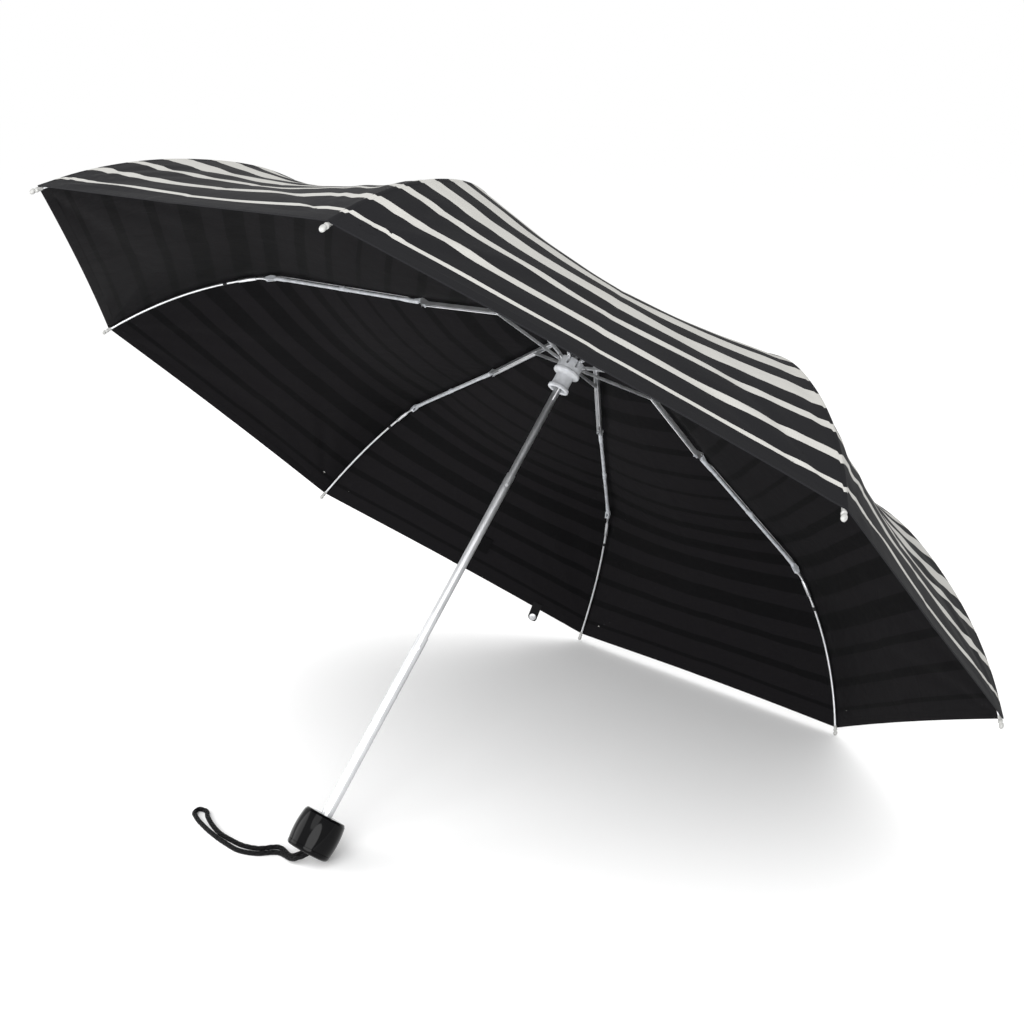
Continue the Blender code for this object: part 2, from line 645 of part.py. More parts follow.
def shaft_pieces(umbrella):
    """Three tubes, their catches and the small rivet that holds the runner's catch."""
    outside = 4 * LOWER_TUBE_RADIUS
    upper_hole = MIDDLE_TUBE_TOP - CATCH_DEPTH
    lower_hole = LOWER_TUBE_TOP - CATCH_DEPTH
    slack = CATCH_RADIUS + GAP
    upper_low = MIDDLE_TUBE_TOP - TUBE_OVERLAP
    middle_low = LOWER_TUBE_TOP - TUBE_OVERLAP
    lower_low = HANDLE_BOTTOM + END_CAP_HEIGHT + RECESS_HEIGHT + 1.5 * MM

    slot = box(
        (0.0, -1.0 * MM, RUNNER_CATCH_HEIGHT - RUNNER_CATCH_LENGTH - 0.5 * MM),
        (outside, 1.0 * MM, RUNNER_CATCH_HEIGHT + 0.5 * MM),
    )
    rivet_hole = across_shaft(0.6 * MM + 0.2 * MM, CATCH_RIVET_HEIGHT, 0.0, outside)
    upper = cut(
        tube_mesh(UPPER_TUBE_RADIUS, upper_low, TOP_PIVOT_HEIGHT + NOTCH_HALF),
        [moved(slot, turn_z=CATCH_ANGLE), rivet_hole, across_shaft(slack, upper_hole, 0.0, outside)],
    )
    middle = cut(
        tube_mesh(MIDDLE_TUBE_RADIUS, middle_low, MIDDLE_TUBE_TOP),
        [across_shaft(slack, lower_hole, 0.0, outside), across_shaft(slack, upper_hole, 0.0, outside)],
    )
    handle_pin_hole = pin(0, pin_height(), HANDLE_PIN_RADIUS + PIN_SLACK, -outside, outside)
    lower = cut(
        tube_mesh(LOWER_TUBE_RADIUS, lower_low, LOWER_TUBE_TOP),
        [across_shaft(slack, lower_hole, 0.0, outside), handle_pin_hole],
    )
    piece("shaft_upper_tube", upper, tube_steel(), umbrella)
    piece("shaft_middle_tube", middle, tube_steel(), umbrella)
    piece("shaft_lower_tube", lower, tube_steel(), umbrella)
    piece("upper_tube_catch", tube_catch_mesh(UPPER_TUBE_RADIUS, MIDDLE_TUBE_RADIUS), steel(),
          umbrella, (0, 0, upper_hole))
    piece("lower_tube_catch", tube_catch_mesh(MIDDLE_TUBE_RADIUS, LOWER_TUBE_RADIUS), steel(),
          umbrella, (0, 0, lower_hole))
    piece("runner_catch", runner_catch_mesh(), steel(), umbrella, (0, 0, RUNNER_CATCH_HEIGHT))
    rivet = across_shaft(0.6 * MM, 0.0, UPPER_TUBE_RADIUS - TUBE_WALL - 0.8 * MM,
                         UPPER_TUBE_RADIUS + 0.3 * MM)
    piece("catch_rivet", rivet, steel(), umbrella, (0, 0, CATCH_RIVET_HEIGHT))


# ---------------------------------------------------------------- handle
def pin_height():
    """Height of the cross pin that holds the lower tube in the handle."""
    return (HANDLE_TOP + HANDLE_BOTTOM + END_CAP_HEIGHT + RECESS_HEIGHT) / 2 + 2.0 * MM


def barrel_radius(height):
    """The handle swells from its ends to its middle."""
    middle = (HANDLE_TOP + HANDLE_BOTTOM) / 2
    share = (height - middle) / (HANDLE_TOP - middle)
    return HANDLE_BARREL_RADIUS - (HANDLE_BARREL_RADIUS - HANDLE_END_RADIUS) * share**2


def handle_mesh():
    """A barrel with a bore for the lower tube and a recess that the end cap closes."""
    bottom = HANDLE_BOTTOM + END_CAP_HEIGHT + GAP
    recess_top = HANDLE_BOTTOM + END_CAP_HEIGHT + RECESS_HEIGHT
    bore = LOWER_TUBE_RADIUS + GAP
    profile = [(RECESS_RADIUS, bottom), (barrel_radius(bottom), bottom)]
    steps = 4
    side_top = HANDLE_TOP - HANDLE_ROUNDING
    for k in range(1, steps + 1):
        height = bottom + (side_top - bottom) * k / steps
        profile.append((barrel_radius(height), height))
    edge = barrel_radius(side_top) - HANDLE_ROUNDING
    for k in range(1, 4):
        turn = math.pi / 2 * k / 3
        profile.append((edge + HANDLE_ROUNDING * math.cos(turn),
                        side_top + HANDLE_ROUNDING * math.sin(turn)))
    profile += [(bore, HANDLE_TOP), (bore, recess_top), (RECESS_RADIUS, recess_top)]
    hole = pin(0, pin_height(), HANDLE_PIN_RADIUS + PIN_SLACK, -14.0 * MM, 14.0 * MM)
    return cut(turned(profile, HANDLE_SIDES), [hole])


def end_cap_mesh():
    """The bottom of the handle: a rounded disc whose spigot enters the recess."""
    top = END_CAP_HEIGHT
    side = barrel_radius(HANDLE_BOTTOM + END_CAP_HEIGHT)
    rounding = 3.4 * MM
    profile = [(0.0, 0.0)]
    for k in range(5):
        turn = math.pi / 2 * k / 4
        profile.append((side - rounding + rounding * math.sin(turn),
                        rounding - rounding * math.cos(turn)))
    spigot = RECESS_RADIUS - GAP
    profile += [(side, top), (spigot, top), (spigot, top + 2.0 * MM), (0.0, top + 2.0 * MM)]
    disc = turned(profile, HANDLE_SIDES, hollow=False)
    half = STRAP_SPACING / 2
    opening = STRAP_RADIUS + 0.6 * MM
    slot = hull_outline(
        [(x + y_side * half, z) for y_side in (-1, 1) for x, z in circle(0, 0, opening, 12)]
    )
    cutter = plate(slot, -2 * top, 3 * top)
    cutter.transform(Matrix.Rotation(math.pi / 2, 4, "X"))
    cutter.transform(Matrix.Rotation(math.pi / 2, 4, "Z"))
    return cut(disc, [cutter])


def handle_pieces(umbrella):
    piece("handle", handle_mesh(), black_plastic(), umbrella)
    piece("handle_end_cap", end_cap_mesh(), black_plastic(), umbrella, (0, 0, HANDLE_BOTTOM))
    piece("handle_pin", pin(0, 0, HANDLE_PIN_RADIUS, -13.0 * MM, 13.0 * MM), steel(),
          umbrella, (0, 0, pin_height()))
    stopper = turned(
        [(0.0, 0.0), (7.6 * MM, 0.0), (8.4 * MM, 1.0 * MM), (8.4 * MM, 4.0 * MM), (0.0, 5.0 * MM)],
        16, hollow=False,
    )
    piece("strap_stopper", stopper, black_plastic(), umbrella,
          (0, 0, HANDLE_BOTTOM + END_CAP_HEIGHT + 2.6 * MM))


# ---------------------------------------------------------------- canopy
def rib_profile():
    """Points of the cloth's inner face over an open rib, from the apex to the rim."""
    fold_x, fold_z = fold_pivot()
    elbow_x, elbow_z = elbow_pivot()
    outward = CLOTH_OVER_HUMP - HUMP_HEIGHT
    lift = ELBOW_DROP + CLOTH_OVER_ELBOW
    seat = TOP_PIVOT_HEIGHT + NOTCH_HALF + GAP
    points = [
        (CANOPY_HOLE, seat + 0.8 * MM), (NOTCH_RADIUS, seat),
        (0.5 * (NOTCH_RADIUS + fold_x), 0.5 * (seat + fold_z + outward)),
        (fold_x, fold_z + outward),
        (0.5 * (fold_x + elbow_x), 0.5 * (fold_z + outward + elbow_z + lift) + 0.6 * MM),
        (elbow_x, elbow_z + lift),
    ]
    length, slope = outer_chord()
    steps = 5
    for k in range(1, steps + 1):
        share = 0.10 + (1.0 - RIM_SHORT_OF_TIP / length - 0.10) * k / steps
        x, z = outer_axis(share)
        rise = CLOTH_OVER_ELBOW * (1 - share) + CLOTH_OVER_TIP * share
        tilt = slope + math.atan2(4 * OUTER_BOW * (2 * share - 1) + OUTER_ROD_RISE, length)
        points.append((
            elbow_x + x * math.cos(slope) + z * math.sin(slope) + rise * math.sin(tilt),
            elbow_z - x * math.sin(slope) + z * math.cos(slope) + rise * math.cos(tilt),
        ))
    return points


def along_profile(points, share):
    """The point at a share of the profile's length."""
    spans = [math.dist(a, b) for a, b in zip(points, points[1:])]
    left = share * sum(spans)
    for a, b, span in zip(points, points[1:], spans):
        if left <= span:
            t = left / span
            return a[0] + t * (b[0] - a[0]), a[1] + t * (b[1] - a[1])
        left -= span
    return points[-1]


def canopy_point(points, share, turn_share):
    """The cloth between two ribs, hollow between them and short of the rim in the middle."""
    gore = math.floor(turn_share)
    across = turn_share - gore
    between = 4 * across * (1 - across)
    share *= 1 - RIM_DIP * between * share**2
    radius, height = along_profile(points, share)
    turns = [2 * math.pi * (gore + side + 0.5) / RIB_COUNT for side in (0, 1)]
    near, far = (Vector((radius * math.cos(t), radius * math.sin(t), height)) for t in turns)
    step = 0.01
    low, high = (along_profile(points, min(max(share + s, 0), 1)) for s in (-step, step))
    slope = math.atan2(low[1] - high[1], high[0] - low[0])
    turn = 2 * math.pi * (turn_share + 0.5) / RIB_COUNT
    inward = Vector((
        -math.sin(slope) * math.cos(turn), -math.sin(slope) * math.sin(turn), -math.cos(slope)
    ))
    sag = CLOTH_SAG * between * math.sin(math.pi * min(share, 1.0) ** SAG_PLACE)
    return near.lerp(far, across) + inward * sag


def canopy_mesh():
    """The cloth as one closed shell, open below and pierced at the apex."""
    points = rib_profile()
    spans = [math.dist(a, b) for a, b in zip(points, points[1:])]
    levels = [sum(spans[:k]) / sum(spans) for k in range(len(points))]
    across = 4
    around = RIB_COUNT * across
    bm = bmesh.new()
    grid = [
        [bm.verts.new(canopy_point(points, share, k / across)) for k in range(around)]
        for share in levels
    ]
    for low, high in zip(grid, grid[1:]):
        for k in range(around):
            bm.faces.new((low[k], low[(k + 1) % around], high[(k + 1) % around], high[k]))
    bmesh.ops.recalc_face_normals(bm, faces=bm.faces)
    bm.normal_update()
    inner = [v for ring in grid for v in ring]
    if sum(v.normal.z for v in inner) < 0:
        bmesh.ops.reverse_faces(bm, faces=bm.faces)
        bm.normal_update()
    outer = {v: bm.verts.new(v.co + v.normal * CLOTH) for v in inner}
    for face in list(bm.faces):
        bm.faces.new([outer[v] for v in face.verts])
    for ring in (grid[0], grid[-1]):
        for k in range(around):
            a, b = ring[k], ring[(k + 1) % around]
            bm.faces.new((a, b, outer[b], outer[a]))
    return mesh_from(bm)


def band_pieces(umbrella):
    """The short end of the closing band, with its snap, sewn under the rim."""
    points = rib_profile()
    place = BAND_GORE + BAND_PLACE
    edge = canopy_point(points, 1.0, place)
    inside = canopy_point(points, 0.97, place)
    beside = canopy_point(points, 1.0, place + 0.05)
    down = (edge - inside).normalized()
    along = (beside - edge).normalized()
    out = along.cross(down).normalized()
    if out.dot(Vector((edge.x, edge.y, 0))) < 0:
        out = -out
    turn = Matrix((down.cross(out), down, out)).transposed().to_4x4()
    start = BAND_DROP
    tab = box((-BAND_WIDTH / 2, start, -CLOTH / 2), (BAND_WIDTH / 2, start + BAND_LENGTH, CLOTH / 2))
    middle = (0, start + BAND_LENGTH / 2, 0)
    snap = turned([(0.0, 0.0), (SNAP_RADIUS, 0.0), (SNAP_RADIUS * 0.9, 0.9 * MM), (0.0, 1.2 * MM)],
                  16, hollow=False)
    snap.transform(Matrix.Translation((0, middle[1], CLOTH / 2 + GAP)))
    for mesh in (tab, snap):
        mesh.transform(Matrix.Translation(edge) @ turn)
    piece("closing_band", tab, cloth(), umbrella)
    piece("band_snap", snap, steel(), umbrella)


# ---------------------------------------------------------------- resting pose and strap
def world_points(parts):
    return [part.matrix_world @ v.co for part in parts for v in part.data.vertices]


def rest_on_floor(umbrella, feet, heel, measured):
    """Tilt the umbrella until two rib tips and the handle's edge stand at one height.

    The tilt is about Y, so the shaft leans towards +X. The whole is then centred over the origin.
    """
    bpy.context.view_layer.update()
    toes, edge = world_points(feet), world_points(heel)

    def step(tilt):
        turn = Matrix.Rotation(tilt, 4, "Y")
        return min((turn @ p).z for p in toes) - min((turn @ p).z for p in edge)

    low, high = 0.0, math.radians(80)
    for _ in range(60):
        middle = (low + high) / 2
        if step(middle) > 0:
            low = middle
        else:
            high = middle
    umbrella.rotation_euler = (0, low, 0)
    bpy.context.view_layer.update()
    points = world_points(measured)
    centre_x = (min(p.x for p in points) + max(p.x for p in points)) / 2
    centre_y = (min(p.y for p in points) + max(p.y for p in points)) / 2
    umbrella.location = (-centre_x, -centre_y, -min(p.z for p in points))
    bpy.context.view_layer.update()


# The strap's route past the handle's end: (x, y) from the point where the handle meets the floor,
# along one strand to the loop's end and back along the other.
OUTWARD_STRAND = [
    (-26, 31), (-40, 42), (-48.5, 57), (-50, 76), (-49.5, 94), (-47, 116), (-43, 134),
]
LOOP_END = [(-39, 143), (-32.5, 145.5), (-29.5, 139)]
RETURN_STRAND = [
    (-34.5, 128), (-40, 112), (-43.5, 94), (-43, 77), (-40.5, 61), (-33, 47.5), (-20, 38.5),
]


def smooth_route(points, spacing):
    """A smooth curve through the points, with a vertex about every spacing."""
    line = []
    padded = [points[0] * 2 - points[1], *points, points[-1] * 2 - points[-2]]
    for a, b, c, d in zip(padded, padded[1:], padded[2:], padded[3:]):
        count = max(1, round((c - b).length / spacing))
        for k in range(count):
            t = k / count
            line.append(0.5 * (
                2 * b + (c - a) * t + (2 * a - 5 * b + 4 * c - d) * t**2
                + (3 * b - a - 3 * c + d) * t**3
            ))
    return [*line, points[-1]]


def strap_route(umbrella, heel):
    """Out of the end cap, down to the floor, round the loop and back."""
    edge = min(world_points(heel), key=lambda p: p.z)
    floor = STRAP_RADIUS + 0.1 * MM
    stopper = HANDLE_BOTTOM + END_CAP_HEIGHT + 2.6 * MM - GAP
    heights = (stopper, HANDLE_BOTTOM, HANDLE_BOTTOM - 5.0 * MM)
    frame = umbrella.matrix_world
    leave = [frame @ Vector((0, -STRAP_SPACING / 2, h)) for h in heights]
    enter = [frame @ Vector((0, STRAP_SPACING / 2, h)) for h in heights[::-1]]
    lay = [
        Vector((edge.x + x * MM, edge.y + y * MM, floor))
        for x, y in OUTWARD_STRAND + LOOP_END + RETURN_STRAND
    ]
    route = smooth_route(leave + lay + enter, 2.4 * 2 * STRAP_RADIUS)
    return [Vector((p.x, p.y, max(p.z, floor))) for p in route]


def strap(umbrella, heel):
    """A braided cord as a plain round tube."""
    route = strap_route(umbrella, heel)
    curve = bpy.data.curves.new("wrist_strap", "CURVE")
    curve.dimensions = "3D"
    curve.bevel_depth = STRAP_RADIUS
    curve.bevel_resolution = 2
    curve.use_fill_caps = True
    spline = curve.splines.new("POLY")
    spline.points.add(len(route) - 1)
    for point, place in zip(spline.points, route):
        point.co = (*place, 1.0)
    curve.materials.append(cord())
    bpy.context.collection.objects.link(bpy.data.objects.new("wrist_strap", curve))


# ---------------------------------------------------------------- assembly
def main():
    for thing in list(bpy.data.objects):
        bpy.data.objects.remove(thing)
    umbrella = empty("umbrella")
    meshes = {
        "top_rib": top_rib_mesh(),
        "stretcher": stretcher_mesh(),
        "link_wire": link_mesh(),
        "middle_rib": middle_rib_mesh(),
        "outer_rib": outer_rib_mesh(),
    }
    for number in range(1, RIB_COUNT + 1):
        rib_unit(number, meshes, umbrella)
    shaft_pieces(umbrella)
    piece("runner", runner_mesh(), grey_plastic(), umbrella)
    piece("runner_wire_ring", torus(PIVOT_RADIUS, WIRE_RADIUS, HUB_SIDES, 5), steel(), umbrella,
          (0, 0, RUNNER_PIVOT_HEIGHT))
    piece("top_notch", top_notch_mesh(), grey_plastic(), umbrella, (0, 0, TOP_PIVOT_HEIGHT))
    piece("notch_wire_ring", torus(PIVOT_RADIUS, WIRE_RADIUS, HUB_SIDES, 5), steel(), umbrella,
          (0, 0, TOP_PIVOT_HEIGHT))
    cap_seat = TOP_PIVOT_HEIGHT + NOTCH_HALF + 0.8 * MM + CLOTH + 3 * GAP
    piece("ferrule_cap", ferrule_cap_mesh(), black_plastic(), umbrella, (0, 0, cap_seat))
    handle_pieces(umbrella)
    piece("canopy", canopy_mesh(), cloth(), umbrella)
    band_pieces(umbrella)
    bpy.context.view_layer.update()
    solids = [thing for thing in bpy.data.objects if thing.type == "MESH"]
    feet = [bpy.data.objects[f"outer_rib_{number}"] for number in (1, RIB_COUNT)]
    heel = [bpy.data.objects["handle_end_cap"]]
    rest_on_floor(umbrella, feet, heel, solids)
    strap(umbrella, heel)


main()
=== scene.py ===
"""Visual model of a three-fold umbrella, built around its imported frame."""

import json
import math

import bpy
import numpy as np
from mathutils import Matrix, Vector


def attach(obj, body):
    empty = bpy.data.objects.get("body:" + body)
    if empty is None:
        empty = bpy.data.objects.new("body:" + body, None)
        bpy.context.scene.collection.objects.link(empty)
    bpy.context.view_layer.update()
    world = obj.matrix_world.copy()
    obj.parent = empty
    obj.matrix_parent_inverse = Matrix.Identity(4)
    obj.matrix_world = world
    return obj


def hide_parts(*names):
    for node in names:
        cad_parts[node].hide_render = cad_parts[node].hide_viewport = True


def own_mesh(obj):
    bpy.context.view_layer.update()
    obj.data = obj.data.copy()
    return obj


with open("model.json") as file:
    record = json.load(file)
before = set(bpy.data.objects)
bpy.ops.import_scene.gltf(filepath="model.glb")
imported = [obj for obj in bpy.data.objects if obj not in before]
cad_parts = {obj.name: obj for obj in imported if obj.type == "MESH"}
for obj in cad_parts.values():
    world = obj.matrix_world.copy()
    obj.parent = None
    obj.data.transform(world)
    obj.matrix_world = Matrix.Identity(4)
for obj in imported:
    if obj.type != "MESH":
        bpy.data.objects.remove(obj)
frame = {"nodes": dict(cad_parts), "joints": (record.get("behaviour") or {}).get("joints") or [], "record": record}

bl_info = {
    "name": "Folding umbrella",
    "version": (1, 0, 0),
    "blender": (4, 5, 0),
    "location": "3D View > Sidebar > Umbrella",
    "description": "Builds the cloth, fittings and strap of a folding umbrella around its frame",
    "category": "Add Mesh",
}

MM = 0.001
RIB_COUNT = 8
NODES = frame["nodes"]
JOINTS = {joint["name"]: joint for joint in frame["joints"]}
FOLD_JOINT = "canopy_fold"
TOP_HINGES = [FOLD_JOINT] + [f"top_rib_{k}_hinge" for k in range(2, RIB_COUNT + 1)]

# ---- frame sizes that the visible pieces meet, in metres ----
TOP_PIVOT_HEIGHT = 75.2 * MM
TOP_RIB_SLOPE = math.radians(14.45)
TOP_RIB_LENGTH = 171.5 * MM
STRETCHER_LENGTH = 91.4 * MM
PIVOT_RADIUS = 9.5 * MM
ELBOW = (350.0 * MM, -4.0 * MM)
TIP = (490.0 * MM, -129.8 * MM)
OUTER_ROD_RISE = 2.0 * MM
OUTER_BOW = 13.0 * MM
OUTER_ROD_RADIUS = 1.25 * MM
CONTROL_WIRE_RADIUS = 0.45 * MM
CONTROL_WIRE_GAP = 1.5 * MM
MIDDLE_ROD_DROP = 2.4 * MM
MIDDLE_ROD_RADIUS = 1.75 * MM
HANDLE_TOP = -456.1 * MM
HANDLE_BOTTOM = -492.3 * MM
HANDLE_END_RADIUS = 19.6 * MM
HANDLE_BORE = 5.6 * MM
HANDLE_CROWN = 2.2 * MM     # rounding of its upper edge
HANDLE_MOUTH = 5.2 * MM     # the strap's way out of the end cap
HANDLE_CORNER = 3.4 * MM    # rounding of its lower edge
HANDLE_BARREL_RADIUS = 21.6 * MM
END_CAP_HEIGHT = 5.0 * MM
RUNNER_PIVOT_HEIGHT = TOP_PIVOT_HEIGHT - 2 * STRETCHER_LENGTH * math.sin(TOP_RIB_SLOPE)
RIB_SLOT = 2.2 * MM
CAP_RADIUS = 9.5 * MM
CAP_HEIGHT = 11.0 * MM
STRAP_RADIUS = 2.2 * MM
BRAID_STRANDS = 4           # waves round the cord
BRAID_LAY = 7.0 * MM

# ---- the cloth's inner face along a rib, as (radius, height) in millimetres ----
RIB_LINE = [
    (5.0, 80.8), (12.3, 80.0), (94.4, 59.3), (176.5, 38.7), (263.1, 20.8), (349.8, 1.6),
    (398.1, -27.4), (424.0, -47.9), (447.6, -70.7), (469.2, -95.9), (488.5, -123.3),
]
FOLDS_AT = (3, 5)           # the points of that line over the two folding joints
ZONES = ("top", "middle", "outer")
ZONE_ROWS = (26, 30, 38)
HALF_COLUMNS = 26
PANEL_COLUMNS = 2 * (HALF_COLUMNS - 1)
SEAM_WIDTH = 2.3 * MM       # half of the felled seam along a rib
SEAM_STEP = 3.0 * MM        # the stripes on the folded seam stand this much off the panel's
SEAM_RISE = 0.35 * MM
HEM_WIDTH = 8.0 * MM
HEM_RISE = 0.3 * MM
CLOTH = 0.6 * MM
BAND_PLACE = 0.18           # along the rim, from one rib to the next
BAND_WIDTH = 12.0 * MM
BAND_LENGTH = 18.0 * MM     # below the rim
BAND_HIDDEN = 7.0 * MM      # sewn down above it
BAND_UNDER = 0.9 * MM       # how far the band lies inside the cloth
SNAP_FROM_END = 5.5 * MM
SNAP_PROFILE = [
    (1.6, -2.4), (2.9, -2.3), (3.6, -1.9), (4.3, -1.6), (4.5, -0.9), (4.5, -0.2), (3.0, 0.0),
    (3.0, 0.6), (4.8, 0.8), (5.0, 1.3), (4.4, 1.8), (2.6, 2.2), (1.0, 2.3),
]

# white stripes of the outside, in millimetres from the rim down each panel's middle
STRIPES = [
    (17.0, 21.0), (42.5, 51.0), (75.0, 83.5), (102.5, 123.0), (142.0, 162.0), (178.0, 193.0),
    (212.0, 223.0), (244.0, 251.0), (274.0, 278.0), (302.0, 309.0), (336.0, 345.0),
    (368.0, 385.0), (405.0, 423.0), (442.0, 455.0), (480.0, 488.0),
]
PATTERN_LENGTH = 560.0      # the stripe pattern's whole length, in millimetres

# ---- the strap's way over the floor, in millimetres from the handle's resting point ----
STRAP_OUTWARD = [(-26, 31), (-40, 42), (-48.5, 57), (-50, 76), (-49.5, 94), (-47, 116), (-43, 134)]
STRAP_END = [(-39, 143), (-32.5, 145.5), (-29.5, 139)]
STRAP_RETURN = [
    (-34.5, 128), (-40, 112), (-43.5, 94), (-43, 77), (-40.5, 61), (-33, 47.5), (-20, 38.5)]
STRAP_APART = 2.6 * MM
STRAP_BEND = (-0.55, 0.8, -0.15)    # the way in which the strap turns as it leaves the cap
STRAP_ASIDE = (-0.69, -0.66, 0.0)   # from one strand to the other, beside that bend


# ---------------------------------------------------------------- settings
def hex_colour(name, what, default):
    """A colour setting, as an sRGB hex value."""
    return bpy.props.StringProperty(
        name=name, description=f"{what}, sRGB hex", default=default)


class UmbrellaCloth(bpy.types.PropertyGroup):
    """Colours and shape of the cloth."""

    charcoal: hex_colour("Ground", "Outside ground", "#19191b")
    off_white: hex_colour("Stripes", "Outside stripes", "#afaeaa")
    inner_ground: hex_colour("Inner ground", "Inside ground", "#0d0c0e")
    inner_bands: hex_colour("Inner bands", "Inside, behind the stripes", "#030304")
    sag: bpy.props.FloatProperty(
        name="Sag", description="Hollow of the cloth midway between two ribs",
        default=14.0 * MM, unit="LENGTH")
    wrinkles: bpy.props.FloatProperty(
        name="Wrinkles", description="Depth of the creases that start at the rib tips",
        default=0.9 * MM, unit="LENGTH")
    rim_dip: bpy.props.FloatProperty(
        name="Rim dip", description="Share by which the rim falls short between two ribs",
        default=0.004, subtype="FACTOR")


class UmbrellaFittings(bpy.types.PropertyGroup):
    """Colours of the fittings."""

    steel: hex_colour("Ribs", "Nickel-plated steel", "#dadbdd")
    tube: hex_colour("Tubes", "Satin plated tube", "#c8c9cb")
    grey_plastic: hex_colour("Runner", "Light grey nylon", "#b4b6b9")
    grey_rod: hex_colour("Middle ribs", "Grey glassfibre", "#a9acb0")
    black_plastic: hex_colour("Handle", "Gloss black ABS", "#050506")
    cord: hex_colour("Strap", "Black polyester braid", "#060607")
    lathe_sides: bpy.props.IntProperty(
        name="Sides", description="Sides of the turned pieces", default=64, min=16)


def cloth_settings():
    """The cloth's settings in this scene."""
    return bpy.context.scene.umbrella_cloth


def fitting_settings():
    """The fittings' settings in this scene."""
    return bpy.context.scene.umbrella_fittings


# ---------------------------------------------------------------- places
def umbrella_place():
    """The umbrella's own frame: Z along the shaft to the cap, 0 at the open runner's rim."""
    up = -Vector(JOINTS["lower_tube_slide"]["axis"])
    side = Vector((0, 1, 0))
    hub = sum((Vector(JOINTS[name]["pos_m"]) for name in TOP_HINGES), Vector()) / RIB_COUNT
    turn = Matrix((side.cross(up), side, up)).transposed().to_4x4()
    return Matrix.Translation(hub - up * TOP_PIVOT_HEIGHT) @ turn


UMBRELLA = umbrella_place()


def rib_plane(rib):
    """The frame of one rib's plane: X away from the shaft, Z along it."""
    return UMBRELLA @ Matrix.Rotation(2 * math.pi * (rib - 0.5) / RIB_COUNT, 4, "Z")


def rib_place(rib, pivot, slope):
    """The frame of one rib piece, from its joint and its slope in the rib's plane."""
    local = rib_plane(rib).inverted() @ Vector(JOINTS[pivot]["pos_m"])
    local.y = 0
    return rib_plane(rib) @ Matrix.Translation(local) @ Matrix.Rotation(slope, 4, "Y")


def middle_slope():
    """Slope of the middle rib's rod and its length."""
    start = (PIVOT_RADIUS + TOP_RIB_LENGTH * math.cos(TOP_RIB_SLOPE),
             TOP_PIVOT_HEIGHT - TOP_RIB_LENGTH * math.sin(TOP_RIB_SLOPE))
    run, drop = ELBOW[0] - start[0], start[1] - ELBOW[1]
    return math.atan2(drop, run), math.hypot(run, drop)


def outer_chord():
    """Slope and length of the outer rib's chord, from its pivot to its tip."""
    pivot = rib_plane(1).inverted() @ Vector(JOINTS["outer_rib_1_hinge"]["pos_m"])
    run, drop = TIP[0] - pivot.x, pivot.z - TIP[1]
    return math.atan2(drop, run), math.hypot(run, drop)


# ---------------------------------------------------------------- finishes
def colour(text):
    """The linear colour of an sRGB hex value."""
    parts = [int(text[start:start + 2], 16) / 255 for start in (1, 3, 5)]
    linear = [part / 12.92 if part <= 0.04045 else ((part + 0.055) / 1.055) ** 2.4 for part in parts]
    return (*linear, 1.0)


def add_node(material, kind, inputs=None, **settings):
    """Adds one node with its settings, and its inputs as values or as links from sockets."""
    made = material.node_tree.nodes.new(kind)
    for name, value in settings.items():
        setattr(made, name, value)
    for name, value in (inputs or {}).items():
        if isinstance(value, bpy.types.NodeSocket):
            material.node_tree.links.new(value, made.inputs[name])
        else:
            made.inputs[name].default_value = value
    return made


def new_finish(name, **inputs):
    """A material with its shader's uniform values set, and that shader."""
    material = bpy.data.materials.new(name)
    material.use_nodes = True
    shader = material.node_tree.nodes["Principled BSDF"]
    for socket, value in inputs.items():
        shader.inputs[socket.replace("_", " ")].default_value = value
    return material, shader


def link(material, output, shader, socket):
    """Joins an output to one of the shader's sockets."""
    material.node_tree.links.new(output, shader.inputs[socket])


def mottled(material, shader, dark, light, scale, low, high, bump=0.0):
    """Varies colour, roughness and height a little over a piece, from its own coordinates."""
    place = add_node(material, "ShaderNodeTexCoord")
    noise = add_node(material, "ShaderNodeTexNoise",
                     {"Vector": place.outputs["Object"], "Scale": scale, "Detail": 4.0})
    ramp = add_node(material, "ShaderNodeValToRGB", {"Fac": noise.outputs["Fac"]})
    ramp.color_ramp.elements[0].position = 0.35
    ramp.color_ramp.elements[0].color = colour(dark)
    ramp.color_ramp.elements[1].position = 0.65
    ramp.color_ramp.elements[1].color = colour(light)
    rough = add_node(material, "ShaderNodeMapRange",
                     {"Value": noise.outputs["Fac"], "To Min": low, "To Max": high})
    link(material, ramp.outputs["Color"], shader, "Base Color")
    link(material, rough.outputs[0], shader, "Roughness")
    if bump:
        raised = add_node(material, "ShaderNodeBump",
                          {"Height": noise.outputs["Fac"], "Strength": 0.4, "Distance": bump})
        link(material, raised.outputs[0], shader, "Normal")
    return material


def shade(text, share):
    """A hex colour made darker or lighter by a share."""
    parts = [min(255, max(0, round(int(text[i:i + 2], 16) * share))) for i in (1, 3, 5)]
    return "#" + "".join(f"{part:02x}" for part in parts)


def nickel_plated_steel():
    """Rolled steel with a satin nickel plate: pale, with wide soft highlights."""
    tone = fitting_settings().steel
    material, shader = new_finish("nickel_plated_steel", Metallic=1.0)
    return mottled(material, shader, shade(tone, 0.95), shade(tone, 1.03), 90.0, 0.4, 0.5)


def bright_tube_steel():
    """Drawn tube with a satin plate: long soft reflections, a little uneven along it."""
    tone = fitting_settings().tube
    material, shader = new_finish("bright_tube_steel", Metallic=1.0)
    return mottled(material, shader, shade(tone, 0.97), shade(tone, 1.02), 45.0, 0.36, 0.46)


def moulded_nylon():
    """Moulded nylon, light grey and half matt, with a slight skin unevenness."""
    tone = fitting_settings().grey_plastic
    material, shader = new_finish("moulded_grey_nylon", IOR=1.53)
    return mottled(material, shader, shade(tone, 0.96), shade(tone, 1.03), 180.0, 0.34, 0.48,
                   0.03 * MM)


